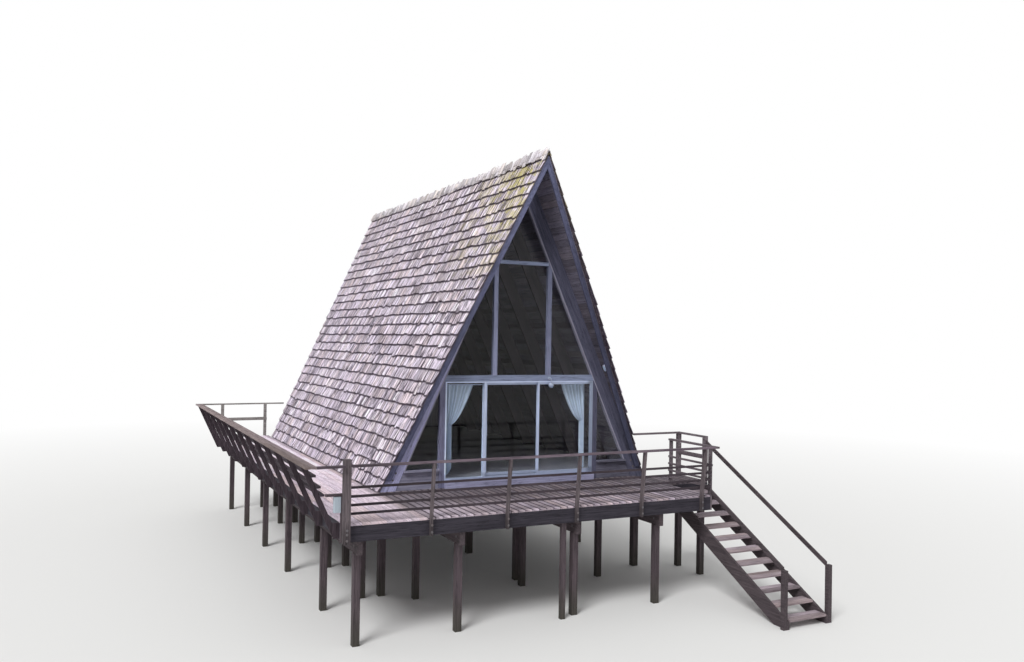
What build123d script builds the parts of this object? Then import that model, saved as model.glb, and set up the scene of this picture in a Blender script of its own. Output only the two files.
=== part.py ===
"""A-frame cabin on posts, with a glazed prow gable, a wrap-round deck and a side stair.

Millimetres, +Z up. X runs to the right along the glazed gable and Y towards the back of the cabin.
The origin is on the ground at the foot of the middle post, under the centre of the cabin's plan.
"""

from build123d import *
import math
import os

os.makedirs("parts", exist_ok=True)

# Roof
deck_height = 2100.0  # top of the deck above the lowest ground
ridge_height = 6985.0  # outer faces of the roof meet this far above the deck
half_base = 3200.0  # centre line to the outer face of the roof, at the deck
house_length = 10480.0  # outer face of the front wall to outer face of the rear wall
front_ridge_overhang = 1050.0  # the ridge runs out over the glazed gable, the eaves don't
rear_ridge_overhang = 330.0
roof_skin = 47.0  # sheathing and shakes
ridge_cap_thickness = 24.0
ridge_cap_width = 190.0
ridge_cap_reach = 60.0  # the left side's shakes stand up past the peak
eave_gap = 12.0  # lowest edge of the roof above the deck
barge_depth = 105.0  # below the roof's skin
barge_thickness = 32.0

# Rafters and floor frame
rafter_depth = 286.0
gable_rafter_width = 89.0
inner_rafter_width = 64.0
rafter_bays = 8
ridge_board_width = 38.0
joist_width = 38.0
joist_depth = 286.0
joist_end_gap = 6.0
floor_thickness = 25.0
floor_rise = 140.0  # cabin floor above the deck
girder_width = 90.0
girder_depth = 240.0
girder_inset = 150.0  # centre of a side girder in from the roof's foot
house_post_size = 140.0
house_post_rows = 5
house_post_end = 150.0  # centre of an end row in from the wall's face

# Deck
deck_front = 2690.0  # front wall to the deck's front edge
deck_left = 4620.0  # centre line to the deck's left edge
deck_right = 2950.0  # centre line to the deck's right edge
deck_back = 390.0  # deck's rear edge beyond the rear wall
deck_board = 38.0
deck_joist_depth = 265.0
deck_joist_spacing = 500.0
side_joist_spacing = 655.0
fascia_thickness = 38.0
deck_beam_width = 90.0
deck_beam_depth = 240.0
deck_beam_lines = (-2490.0, -110.0, 1770.0)
outer_beam_inset = 270.0  # in from the deck's left edge
inner_beam_gap = 250.0  # out from the roof's foot
deck_post_size = 120.0
prop_post_size = 90.0
prop_post_offset = 325.0  # the thinner post stands this far left of the middle one
front_post_inset = 230.0  # centre of the front row behind the deck's edge
back_post_inset = 330.0  # centre of the second row in front of the wall
side_deck_gap = 70.0  # between the roof's foot and the side joists

# Landing and stair
landing_width = 1130.0
landing_front = 1200.0  # front wall to the landing's front edge
landing_back = 150.0
stair_risers = 12
stair_going = 330.0
stair_clear = 50.0  # between the deck's side and the stair
stair_width = 1000.0
stringer_thickness = 50.0
stringer_depth = 286.0
tread_thickness = 44.0
tread_depth = 285.0

# Front wall
sill_rise = 160.0  # underside of the door frame above the deck
door_height = 2032.0
door_width = 3556.0
gable_post_width = 120.0
curb_projection = 110.0
head_beam_depth = 130.0
mullion_offset = 650.0
mullion_width = 95.0
transom_height = 4545.0  # underside above the door frame's underside
transom_depth = 75.0
wall_thickness = 89.0
glazing_trim_width = 24.0
glass_thickness = 8.0
glass_setback = 40.0
side_sill_height = 200.0  # underside of the side window's sill above the door frame's underside
side_sill_thickness = 36.0
side_sill_projection = 60.0
base_wall_setback = 12.0

# Sliding door
door_frame_width = 28.0
door_frame_front = 10.0  # the frame stands this far in front of the wall
door_frame_depth = 110.0
door_post_width = 50.0  # upright between the side light and the doors
door_post_x = -869.0
door_stile = 36.0
door_rail = 50.0
door_leaf_thickness = 35.0
fixed_leaf_y = 5.0  # front face of the fixed leaf behind the wall's face
sliding_leaf_y = 48.0
meeting_stile_x = 395.0  # left edge of the fixed leaf
sliding_clearance = 6.0
track_width = 6.0
track_height = 10.0
roller_radius = 18.0
roller_width = 14.0
roller_lift = 0.3
leaf_lift = 7.0  # underside of the sliding leaf above its track
handle_length = 240.0
handle_height = 1000.0
handle_reach = 34.0
handle_bar = 16.0

# Curtains
curtain_rod_radius = 12.0
curtain_rod_drop = 46.0  # rod below the door frame's head
curtain_rod_y = 195.0
curtain_thickness = 64.0
curtain_edge_inset = 75.0  # outer edge in from the side of the opening
curtain_top_width = 615.0
curtain_tie_width = 130.0
curtain_tie_height = 1130.0
curtain_foot_width = 120.0
curtain_foot_height = 70.0
curtain_gap = 0.3
curtain_sweep_out = 0.36  # middle of the swept edge, as a share of the way from the tie to the top
curtain_sweep_up = 0.3254

# Rails
rail_height = 995.0
rail_cap_thickness = 38.0
rail_cap_width = 90.0
rail_post_width = 38.0
rail_post_depth = 89.0
rail_lean = 100.0  # tops of the front posts stand out this far
rail_slat_heights = (170.0, 315.0, 460.0, 610.0)
rail_slat_depth = 42.0
rail_slat_thickness = 24.0
front_post_places = (1500.0, 2960.0, 4400.0, 5855.0)  # from the deck's left edge
last_post_inset = 260.0  # from the deck's right edge
corner_post_size = 120.0
corner_post_rise = 1080.0
side_rail_lean = 580.0
side_rail_height = 1000.0
side_cap_width = 190.0
side_post_depth = 89.0
side_post_bays = 12
side_slat_heights = (435.0, 574.0, 764.0)  # middles of the flat boards, above the deck
side_slat_width = 89.0
side_slat_thickness = 38.0
side_rail_start = 360.0  # first leaning post behind the deck's front edge
mid_rail_height = 480.0
rear_cap_reach = 450.0  # free end of the rear rail's cap, in from the roof's foot
newel_size = 89.0
stair_rail_rise = 900.0

# Fittings
globe_radius = 58.0
globe_x = 660.0
globe_arm_rise = 60.0
globe_neck = 91.0  # from the arm down to the globe
globe_arm_reach = 92.0
globe_arm_radius = 9.0
globe_base_radius = 36.0
globe_base_thickness = 14.0
leg_light_width = 90.0
leg_light_height = 150.0
leg_light_depth = 50.0
leg_light_rounding = 22.0
leg_light_rise = 2495.0
leg_light_forward = 180.0  # in front of the wall
outlet_post_size = 70.0
outlet_post_rise = 470.0
corner_rail_length = 330.0
outlet_box_width = 120.0
outlet_box_depth = 80.0
outlet_box_height = 260.0
outlet_box_rounding = 12.0
outlet_box_drop = 10.0

# Places worked out from the sizes
front_wall_y = -house_length / 2
rear_wall_y = house_length / 2
slope = half_base / ridge_height
across = math.sqrt(1 + slope * slope)
ridge_z = deck_height + ridge_height
sill_z = deck_height + sill_rise
floor_z = deck_height + floor_rise
joist_top = floor_z - floor_thickness
girder_top = joist_top - joist_depth
girder_bottom = girder_top - girder_depth
deck_joist_top = deck_height - deck_board
deck_beam_top = deck_joist_top - deck_joist_depth
deck_beam_bottom = deck_beam_top - deck_beam_depth
rafter_inside = roof_skin + rafter_depth
glazing_line = rafter_inside + glazing_trim_width
beam_bottom = sill_z + door_height
beam_top = beam_bottom + head_beam_depth
transom_z = sill_z + transom_height
deck_front_y = front_wall_y - deck_front
deck_back_y = rear_wall_y + deck_back
landing_front_y = front_wall_y - landing_front
landing_back_y = front_wall_y - landing_back
landing_right = deck_right + landing_width
riser = deck_height / stair_risers
bay = (house_length - gable_rafter_width) / rafter_bays
side_girder_x = half_base - girder_inset
outer_beam_x = outer_beam_inset - deck_left
inner_beam_x = -half_base - inner_beam_gap
rear_cap_end = rear_cap_reach - half_base
front_rail_posts = [place - deck_left for place in front_post_places]
front_rail_posts += [deck_right - last_post_inset]


def slope_x(z, depth):
    """Distance from the centre line to the plane that lies depth under the roof's outer face."""
    return (ridge_z - z) * slope - depth * across


def slope_z(x, depth):
    """Height at which that plane stands x from the centre line."""
    return ridge_z - (x + depth * across) / slope


def front_edge_y(z):
    """The roof's sloping front edge at height z."""
    return front_wall_y - front_ridge_overhang * (z - deck_height) / ridge_height


def rear_edge_y(z):
    """The roof's rear edge at height z."""
    return rear_wall_y + rear_ridge_overhang * (z - deck_height) / ridge_height


def timber(x_span, y_span, z_span, mode=Mode.ADD):
    """One squared piece, from its lowest and highest x, y and z."""
    with Locations((x_span[0], y_span[0], z_span[0])):
        Box(
            x_span[1] - x_span[0],
            y_span[1] - y_span[0],
            z_span[1] - z_span[0],
            align=(Align.MIN, Align.MIN, Align.MIN),
            mode=mode,
        )


def gable_board(corners, y_span, mode=Mode.ADD):
    """A piece whose (x, z) outline stands parallel to the gable."""
    with BuildSketch(Plane.XZ.offset(-y_span[0])) as outline:
        Polygon(*corners, align=None)
    extrude(to_extrude=outline.sketch, amount=y_span[0] - y_span[1], mode=mode)


def side_board(corners, x_span, mode=Mode.ADD):
    """A piece whose (y, z) outline stands parallel to the cabin's side."""
    with BuildSketch(Plane.YZ.offset(x_span[0])) as outline:
        Polygon(*corners, align=None)
    extrude(to_extrude=outline.sketch, amount=x_span[1] - x_span[0], mode=mode)


def roof_side_outline(top_z):
    """The cabin's side as the roof's front and rear edges cut it."""
    return (
        (front_edge_y(deck_height), deck_height),
        (rear_edge_y(deck_height), deck_height),
        (rear_edge_y(top_z), top_z),
        (front_edge_y(top_z), top_z),
    )


def gable_outline(depth, bottom_z):
    """The gable inside the plane that lies depth under the roof, down to bottom_z."""
    half_top = ridge_board_width / 2
    top_z = slope_z(half_top, depth)
    half_bottom = slope_x(bottom_z, depth)
    return ((-half_bottom, bottom_z), (half_bottom, bottom_z), (half_top, top_z), (-half_top, top_z))


def save(made, name):
    """Labels one finished sub-part and writes it."""
    made.part.label = name
    export_step(made.part, f"parts/{name}.step")


def rafter(side, y_span):
    """One rafter, cut plumb at the ridge board and level on its girder."""
    ridge_face = ridge_board_width / 2
    corners = (
        (side * slope_x(girder_top, roof_skin), girder_top),
        (side * slope_x(girder_top, rafter_inside), girder_top),
        (side * ridge_face, slope_z(ridge_face, rafter_inside)),
        (side * ridge_face, slope_z(ridge_face, roof_skin)),
    )
    gable_board(corners, y_span)


# Foundation posts and girders
post_rows = [
    front_wall_y + house_post_end + i * (house_length - 2 * house_post_end) / (house_post_rows - 1)
    for i in range(house_post_rows)
]
girder_lines = (-side_girder_x, 0.0, side_girder_x)

with BuildPart() as house_posts:
    for x in girder_lines:
        for y in post_rows:
            half = house_post_size / 2
            timber((x - half, x + half), (y - half, y + half), (0, girder_bottom))
save(house_posts, "house_posts")

with BuildPart() as house_girders:
    for x in girder_lines:
        half = girder_width / 2
        timber((x - half, x + half), (front_wall_y, rear_wall_y), (girder_bottom, girder_top))
save(house_girders, "house_girders")

# Rafter stations, each the front face of a rafter
inner_stations = [
    front_wall_y + i * bay + (gable_rafter_width - inner_rafter_width) / 2 for i in range(1, rafter_bays)
]
rear_station = rear_wall_y - gable_rafter_width

with BuildPart() as front_rafters:
    for side in (-1, 1):
        rafter(side, (front_wall_y, front_wall_y + gable_rafter_width))
save(front_rafters, "front_rafters")

with BuildPart() as inner_rafters:
    for side in (-1, 1):
        for y in inner_stations:
            rafter(side, (y, y + inner_rafter_width))
        rafter(side, (rear_station, rear_wall_y))
save(inner_rafters, "inner_rafters")

with BuildPart() as ridge_board:
    board_half = ridge_board_width / 2
    board_bottom = slope_z(board_half, rafter_inside)
    board_top = slope_z(board_half, roof_skin)
    timber((-board_half, board_half), (front_wall_y, rear_wall_y), (board_bottom, board_top))
save(ridge_board, "ridge_board")

# Floor: each joist is bolted to the side of a rafter, with one more in the middle of each bay
joist_fronts = [front_wall_y + gable_rafter_width]
joist_fronts += [y + inner_rafter_width for y in inner_stations]
joist_fronts += [front_wall_y + (i + 0.5) * bay for i in range(rafter_bays)]
joist_fronts += [rear_station - joist_width]
joist_reach = slope_x(joist_top, roof_skin) - joist_end_gap

with BuildPart() as floor_joists:
    for y in joist_fronts:
        timber((-joist_reach, joist_reach), (y, y + joist_width), (girder_top, joist_top))
save(floor_joists, "floor_joists")

with BuildPart() as cabin_floor:
    floor_outline = (
        (-slope_x(joist_top, roof_skin), joist_top),
        (slope_x(joist_top, roof_skin), joist_top),
        (slope_x(floor_z, roof_skin), floor_z),
        (-slope_x(floor_z, roof_skin), floor_z),
    )
    gable_board(floor_outline, (front_wall_y + gable_rafter_width, rear_station))
    for side in (-1, 1):
        for y in inner_stations:
            notch = sorted((side * slope_x(floor_z, rafter_inside + floor_thickness), side * half_base))
            timber(notch, (y, y + inner_rafter_width), (joist_top, floor_z), Mode.SUBTRACT)
save(cabin_floor, "cabin_floor")


def roof_slope(side):
    """One side of the roof, whose front edge leans out from the eave to the ridge."""
    foot_z = deck_height + eave_gap
    corners = (
        (side * slope_x(foot_z, 0), foot_z),
        (side * slope_x(foot_z, roof_skin), foot_z),
        (0, slope_z(0, roof_skin)),
        (0, ridge_z),
    )
    gable_board(corners, (front_edge_y(ridge_z), rear_edge_y(ridge_z)))
    side_board(roof_side_outline(ridge_z), (-half_base, half_base), Mode.INTERSECT)


with BuildPart() as roof_left:
    roof_slope(-1)
save(roof_left, "roof_left")

with BuildPart() as roof_right:
    roof_slope(1)
save(roof_right, "roof_right")

with BuildPart() as ridge_cap:
    cap_top = slope_z(0, -ridge_cap_thickness)
    cap_drop = ridge_cap_width / across
    cap_side = cap_drop * slope
    cap_out = ridge_cap_thickness / across
    cap_up = ridge_cap_thickness * slope / across
    tip_x = ridge_cap_reach * slope / across
    tip_z = cap_top + ridge_cap_reach / across
    lap_x = (cap_out - slope * cap_up) / 2
    cap_corners = (
        (0, ridge_z),
        (cap_side, ridge_z - cap_drop),
        (cap_side + cap_out, ridge_z - cap_drop + cap_up),
        (lap_x, cap_top - lap_x / slope),
        (tip_x + cap_out, tip_z - cap_up),
        (tip_x, tip_z),
        (-cap_side - cap_out, ridge_z - cap_drop + cap_up),
        (-cap_side, ridge_z - cap_drop),
    )
    gable_board(cap_corners, (front_edge_y(tip_z), rear_edge_y(tip_z)))
    side_board(roof_side_outline(tip_z), (-half_base, half_base), Mode.INTERSECT)
save(ridge_cap, "ridge_cap")



def barge_pair(edge_y, overhang, inward):
    """The boards under one end's raking edge, down to where they meet the rafters."""
    foot_z = deck_height + ridge_height * barge_thickness / overhang
    top_z = slope_z(0, roof_skin)
    for side in (-1, 1):
        corners = (
            (side * slope_x(foot_z, roof_skin), foot_z),
            (side * slope_x(foot_z, roof_skin + barge_depth), foot_z),
            (0, slope_z(0, roof_skin + barge_depth)),
            (0, top_z),
        )
        with BuildPart(mode=Mode.PRIVATE) as board:
            gable_board(corners, sorted((edge_y(top_z), edge_y(foot_z) + inward * barge_thickness)))
            rake = (
                (edge_y(foot_z), foot_z),
                (edge_y(foot_z) + inward * barge_thickness, foot_z),
                (edge_y(top_z) + inward * barge_thickness, top_z),
                (edge_y(top_z), top_z),
            )
            side_board(rake, (-half_base, half_base), Mode.INTERSECT)
        add(board.part)


with BuildPart() as barge_boards:
    barge_pair(front_edge_y, front_ridge_overhang, 1)
    barge_pair(rear_edge_y, rear_ridge_overhang, -1)
save(barge_boards, "barge_boards")

# Rear wall, between the rear rafters
with BuildPart() as rear_wall:
    gable_board(gable_outline(rafter_inside, girder_top), (rear_station, rear_wall_y))
save(rear_wall, "rear_wall")

# Front wall
wall_y = (front_wall_y, front_wall_y + wall_thickness)
glass_y = (front_wall_y + glass_setback, front_wall_y + glass_setback + glass_thickness)
door_half = door_width / 2
post_outside = door_half + gable_post_width

with BuildPart() as front_curb:
    timber((-door_half, door_half), (front_wall_y - curb_projection, wall_y[1]), (deck_height, sill_z))
save(front_curb, "front_curb")

with BuildPart() as gable_posts:
    for side in (-1, 1):
        post_x = sorted((side * door_half, side * post_outside))
        timber(post_x, wall_y, (deck_height, beam_bottom))
    gable_board(gable_outline(glazing_line, deck_height), wall_y, Mode.INTERSECT)
save(gable_posts, "gable_posts")

with BuildPart() as head_beam:
    timber((-post_outside, post_outside), wall_y, (beam_bottom, beam_top))
    gable_board(gable_outline(glazing_line, deck_height), wall_y, Mode.INTERSECT)
save(head_beam, "head_beam")

mullion_in = mullion_offset - mullion_width / 2
mullion_out = mullion_offset + mullion_width / 2
with BuildPart() as gable_mullions:
    for side in (-1, 1):
        mullion_x = sorted((side * mullion_in, side * mullion_out))
        timber(mullion_x, wall_y, (beam_top, ridge_z))
    gable_board(gable_outline(glazing_line, deck_height), wall_y, Mode.INTERSECT)
save(gable_mullions, "gable_mullions")

transom_top = transom_z + transom_depth
with BuildPart() as gable_transom:
    timber((-mullion_in, mullion_in), wall_y, (transom_z, transom_top))
    gable_board(gable_outline(glazing_line, deck_height), wall_y, Mode.INTERSECT)
save(gable_transom, "gable_transom")

side_sill_z = sill_z + side_sill_height
side_sill_top = side_sill_z + side_sill_thickness

with BuildPart() as glazing_trim:
    gable_board(gable_outline(rafter_inside, side_sill_top), wall_y)
    gable_board(gable_outline(glazing_line, side_sill_top), wall_y, Mode.SUBTRACT)
    trim_gap = ridge_board_width / 2
    timber((-trim_gap, trim_gap), wall_y, (side_sill_top, ridge_z), Mode.SUBTRACT)
save(glazing_trim, "glazing_trim")

with BuildPart() as base_walls:
    for side in (-1, 1):
        base_corners = (
            (side * post_outside, deck_height),
            (side * slope_x(deck_height, rafter_inside), deck_height),
            (side * slope_x(side_sill_z, rafter_inside), side_sill_z),
            (side * post_outside, side_sill_z),
        )
        gable_board(base_corners, (front_wall_y + base_wall_setback, wall_y[1]))
        sill_corners = (
            (side * post_outside, side_sill_z),
            (side * slope_x(side_sill_z, rafter_inside), side_sill_z),
            (side * slope_x(side_sill_top, rafter_inside), side_sill_top),
            (side * post_outside, side_sill_top),
        )
        gable_board(sill_corners, (front_wall_y - side_sill_projection, wall_y[1]))
save(base_walls, "base_walls")

with BuildPart() as gable_glass:
    gable_board(gable_outline(glazing_line, transom_top), glass_y)
    for side in (-1, 1):
        mullion_x = sorted((side * mullion_in, side * mullion_out))
        timber(mullion_x, glass_y, (transom_top, ridge_z), Mode.SUBTRACT)
    for side in (-1, 1):
        pane_corners = (
            (side * post_outside, side_sill_top),
            (side * slope_x(side_sill_top, glazing_line), side_sill_top),
            (side * post_outside, slope_z(post_outside, glazing_line)),
        )
        gable_board(pane_corners, glass_y)
        pane_corners = (
            (side * mullion_out, beam_top),
            (side * slope_x(beam_top, glazing_line), beam_top),
            (side * mullion_out, slope_z(mullion_out, glazing_line)),
        )
        gable_board(pane_corners, glass_y)
    timber((-mullion_in, mullion_in), glass_y, (beam_top, transom_z))
    gable_board(gable_outline(glazing_line, side_sill_top), glass_y, Mode.INTERSECT)
save(gable_glass, "gable_glass")

# Door frame, its side light and the fixed leaf
frame_y = (front_wall_y - door_frame_front, front_wall_y - door_frame_front + door_frame_depth)
opening_left = -door_half + door_frame_width
opening_right = door_half - door_frame_width
opening_bottom = sill_z + door_frame_width
opening_top = beam_bottom - door_frame_width
door_post_left = door_post_x - door_post_width / 2
door_post_right = door_post_x + door_post_width / 2
track_y = front_wall_y + sliding_leaf_y + door_leaf_thickness / 2

with BuildPart() as door_frame:
    timber((-door_half, door_half), frame_y, (sill_z, beam_bottom))
    timber((opening_left, door_post_left), frame_y, (opening_bottom, opening_top), Mode.SUBTRACT)
    timber((door_post_right, opening_right), frame_y, (opening_bottom, opening_top), Mode.SUBTRACT)
    half_track = track_width / 2
    timber(
        (door_post_right, opening_right),
        (track_y - half_track, track_y + half_track),
        (opening_bottom, opening_bottom + track_height),
    )
save(door_frame, "door_frame")


def leaf_frame(x_span, y_span, z_span):
    """Stiles and rails round one pane."""
    timber(x_span, y_span, z_span)
    pane_x = (x_span[0] + door_stile, x_span[1] - door_stile)
    timber(pane_x, y_span, (z_span[0] + door_rail, z_span[1] - door_stile), Mode.SUBTRACT)


def leaf_pane(x_span, y_span, z_span):
    """The pane of such a leaf, in the middle of its thickness."""
    middle = (y_span[0] + y_span[1]) / 2
    pane_y = (middle - glass_thickness / 2, middle + glass_thickness / 2)
    pane_x = (x_span[0] + door_stile, x_span[1] - door_stile)
    timber(pane_x, pane_y, (z_span[0] + door_rail, z_span[1] - door_stile))


fixed_x = (meeting_stile_x, opening_right)
fixed_y = (front_wall_y + fixed_leaf_y, front_wall_y + fixed_leaf_y + door_leaf_thickness)
fixed_z = (opening_bottom, opening_top)

with BuildPart() as fixed_door:
    leaf_frame(fixed_x, fixed_y, fixed_z)
save(fixed_door, "fixed_door")

with BuildPart() as fixed_glass:
    leaf_pane(fixed_x, fixed_y, fixed_z)
    timber((opening_left, door_post_left), glass_y, (opening_bottom, opening_top))
save(fixed_glass, "fixed_glass")

sliding_x = (door_post_right + sliding_clearance, meeting_stile_x + door_stile)
sliding_y = (front_wall_y + sliding_leaf_y, front_wall_y + sliding_leaf_y + door_leaf_thickness)
track_top = opening_bottom + track_height
sliding_z = (track_top + leaf_lift, opening_top - sliding_clearance)

with BuildPart() as sliding_door:
    leaf_frame(sliding_x, sliding_y, sliding_z)
    roller_z = track_top + roller_lift + roller_radius
    for x in (sliding_x[0] + 2 * door_stile, sliding_x[1] - 2 * door_stile):
        with BuildSketch(Plane.XZ.offset(-track_y - roller_width / 2)) as roller_face:
            with Locations((x, roller_z)):
                Circle(roller_radius)
        extrude(to_extrude=roller_face.sketch, amount=roller_width)
    handle_x = sliding_x[0] + door_stile / 2
    handle_z = sill_z + handle_height
    handle_low = handle_z - handle_length / 2
    handle_high = handle_z + handle_length / 2
    grip_x = (handle_x - handle_bar / 2, handle_x + handle_bar / 2)
    for face_y, way in ((sliding_y[0], -1), (sliding_y[1], 1)):
        grip_y = sorted((face_y + way * (handle_reach - handle_bar), face_y + way * handle_reach))
        foot_y = sorted((face_y, face_y + way * handle_reach))
        timber(grip_x, grip_y, (handle_low, handle_high))
        timber(grip_x, foot_y, (handle_low, handle_low + handle_bar))
        timber(grip_x, foot_y, (handle_high - handle_bar, handle_high))
save(sliding_door, "sliding_door")

with BuildPart() as sliding_glass:
    leaf_pane(sliding_x, sliding_y, sliding_z)
save(sliding_glass, "sliding_glass")

# Curtains, tied back to the sides of the door
rod_z = beam_bottom - door_frame_width - curtain_rod_drop
rod_y = front_wall_y + curtain_rod_y
bracket_x = door_half + gable_post_width / 2

with BuildPart() as curtain_rod:
    with BuildSketch(Plane.YZ.offset(-bracket_x)) as rod_face:
        with Locations((rod_y, rod_z)):
            Circle(curtain_rod_radius)
    extrude(to_extrude=rod_face.sketch, amount=2 * bracket_x)
    for side in (-1, 1):
        bracket_span = sorted((side * bracket_x, side * (bracket_x - 2 * curtain_rod_radius)))
        timber(bracket_span, (wall_y[1], rod_y), (rod_z - curtain_rod_radius, rod_z + curtain_rod_radius))
save(curtain_rod, "curtain_rod")


def curtain(side):
    """A curtain gathered to one side by its tie, as one thin solid."""
    edge = side * (door_half - door_frame_width - curtain_edge_inset)
    top = rod_z - curtain_rod_radius - curtain_gap
    tie = sill_z + curtain_tie_height
    foot = sill_z + curtain_foot_height
    sweep_out = curtain_tie_width + curtain_sweep_out * (curtain_top_width - curtain_tie_width)
    sweep_z = tie + curtain_sweep_up * (top - tie)
    with BuildSketch(Plane.XZ.offset(-(rod_y - curtain_thickness / 2))) as outline:
        with BuildLine():
            Polyline(
                (edge - side * curtain_tie_width, tie),
                (edge - side * curtain_foot_width, foot),
                (edge, foot),
                (edge, top),
                (edge - side * curtain_top_width, top),
            )
            ThreePointArc(
                (edge - side * curtain_top_width, top),
                (edge - side * sweep_out, sweep_z),
                (edge - side * curtain_tie_width, tie),
            )
        make_face()
    extrude(to_extrude=outline.sketch, amount=-curtain_thickness)


with BuildPart() as curtain_left:
    curtain(-1)
save(curtain_left, "curtain_left")

with BuildPart() as curtain_right:
    curtain(1)
save(curtain_right, "curtain_right")

# Deck surfaces
side_deck_x = -half_base

with BuildPart() as front_deck:
    timber((-deck_left, deck_right), (deck_front_y, front_wall_y), (deck_joist_top, deck_height))
    timber((deck_right, landing_right), (landing_front_y, landing_back_y), (deck_joist_top, deck_height))
save(front_deck, "front_deck")

with BuildPart() as side_deck:
    timber((-deck_left, side_deck_x), (front_wall_y, deck_back_y), (deck_joist_top, deck_height))
save(side_deck, "side_deck")

# Deck framing
fascia_z = (deck_beam_top, deck_joist_top)
joist_left = -deck_left + fascia_thickness
joist_right = deck_right - fascia_thickness
side_joist_right = -half_base - side_deck_gap
front_joists = [
    deck_front_y + fascia_thickness + i * deck_joist_spacing
    for i in range(1, int((deck_front - fascia_thickness) / deck_joist_spacing) + 1)
]
side_joist_count = int((deck_back_y - front_wall_y) / side_joist_spacing)
side_joists = [front_wall_y + i * side_joist_spacing for i in range(side_joist_count)]
landing_joists = [
    landing_front_y + fascia_thickness,
    (landing_front_y + landing_back_y) / 2,
    landing_back_y - joist_width,
]

with BuildPart() as deck_joists:
    for y in front_joists:
        timber((joist_left, joist_right), (y, y + joist_width), fascia_z)
    for y in side_joists:
        timber((joist_left, side_joist_right), (y, y + joist_width), fascia_z)
    for y in landing_joists:
        timber((deck_right, landing_right - fascia_thickness), (y, y + joist_width), fascia_z)
save(deck_joists, "deck_joists")

with BuildPart() as deck_fascia:
    timber((-deck_left, deck_right), (deck_front_y, deck_front_y + fascia_thickness), fascia_z)
    timber((-deck_left, joist_left), (deck_front_y, deck_back_y), fascia_z)
    timber((-deck_left, side_joist_right), (deck_back_y - fascia_thickness, deck_back_y), fascia_z)
    timber((joist_right, deck_right), (deck_front_y, front_wall_y), fascia_z)
    timber((deck_right, landing_right), (landing_front_y, landing_front_y + fascia_thickness), fascia_z)
    timber((landing_right - fascia_thickness, landing_right), (landing_front_y, landing_back_y), fascia_z)
save(deck_fascia, "deck_fascia")

beam_z = (deck_beam_bottom, deck_beam_top)
beam_front = deck_front_y + fascia_thickness
half_beam = deck_beam_width / 2
landing_beam_x = landing_right - fascia_thickness - deck_beam_width

with BuildPart() as deck_beams:
    for x in deck_beam_lines:
        timber((x - half_beam, x + half_beam), (beam_front, front_wall_y - joist_width), beam_z)
    beam_back = deck_back_y - fascia_thickness
    timber((outer_beam_x - half_beam, outer_beam_x + half_beam), (beam_front, beam_back), beam_z)
    timber((inner_beam_x - half_beam, inner_beam_x + half_beam), (front_wall_y, beam_back), beam_z)
    timber((landing_beam_x, landing_beam_x + deck_beam_width), (landing_front_y, landing_back_y), beam_z)
save(deck_beams, "deck_beams")

front_row_y = deck_front_y + front_post_inset
back_row_y = front_wall_y - back_post_inset


def deck_post(x, y, size):
    """One post of the deck, from the ground to the underside of its beam."""
    half = size / 2
    timber((x - half, x + half), (y - half, y + half), (0, deck_beam_bottom))


with BuildPart() as deck_posts:
    for x in (outer_beam_x, *deck_beam_lines):
        deck_post(x, front_row_y, deck_post_size)
        deck_post(x, back_row_y, deck_post_size)
    for y in post_rows[1:]:
        deck_post(outer_beam_x, y, deck_post_size)
    for y in post_rows:
        deck_post(inner_beam_x, y, deck_post_size)
    landing_post_x = landing_beam_x + half_beam
    deck_post(landing_post_x, landing_front_y + deck_post_size, deck_post_size)
    deck_post(landing_post_x, landing_back_y - deck_post_size, deck_post_size)
    prop_x = deck_beam_lines[1] - prop_post_offset
    prop_half = prop_post_size / 2
    prop_y = (beam_front, beam_front + prop_post_size)
    timber((prop_x - prop_half, prop_x + prop_half), prop_y, (0, deck_beam_top))
save(deck_posts, "deck_posts")

# Front rail: posts cut to sit flat on the fascia and lean out above it
cap_bottom = deck_height + rail_height - rail_cap_thickness


def leaning_outline(foot, way):
    """A post's outline as (distance, height), seated on the fascia and leaning out by rail_lean."""
    lean_top = foot + way * rail_lean
    return (
        (foot, deck_beam_top),
        (foot, deck_height),
        (lean_top, cap_bottom),
        (lean_top + way * rail_post_depth, cap_bottom),
        (foot + way * rail_post_depth, deck_height),
        (foot + way * rail_post_depth, deck_beam_top),
    )


def lean_at(height):
    """How far a leaning post's inner face stands out at a height above the deck."""
    return rail_lean * height / (cap_bottom - deck_height)


with BuildPart() as front_posts:
    for x in front_rail_posts:
        side_board(leaning_outline(deck_front_y, -1), (x - rail_post_width / 2, x + rail_post_width / 2))
    corner_x = (-deck_left - corner_post_size / 2, -deck_left + corner_post_size / 2)
    corner_y = (deck_front_y - corner_post_size, deck_front_y)
    timber(corner_x, corner_y, (deck_beam_top, deck_height + corner_post_rise))
save(front_posts, "front_rail_posts")

side_run = side_rail_lean
side_top_x = -deck_left - side_run
side_top_z = deck_height + side_rail_height - rail_cap_thickness
side_rise = side_top_z - deck_beam_top
side_length = math.hypot(side_run, side_rise)
side_top_depth = side_post_depth * side_length / side_rise
side_cap_centre = side_top_x - side_top_depth / 2
side_cap_x = (side_cap_centre - side_cap_width / 2, side_cap_centre + side_cap_width / 2)
corner_right = corner_x[1]
front_cap_y = deck_front_y - rail_lean - rail_post_depth / 2
front_cap_span = (front_cap_y - rail_cap_width / 2, front_cap_y + rail_cap_width / 2)
front_cap_z = (cap_bottom, cap_bottom + rail_cap_thickness)
right_post_x = (deck_right, deck_right + rail_post_width)
right_cap_centre = deck_right + rail_post_width / 2
right_cap_x = (right_cap_centre - rail_cap_width / 2, right_cap_centre + rail_cap_width / 2)

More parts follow.
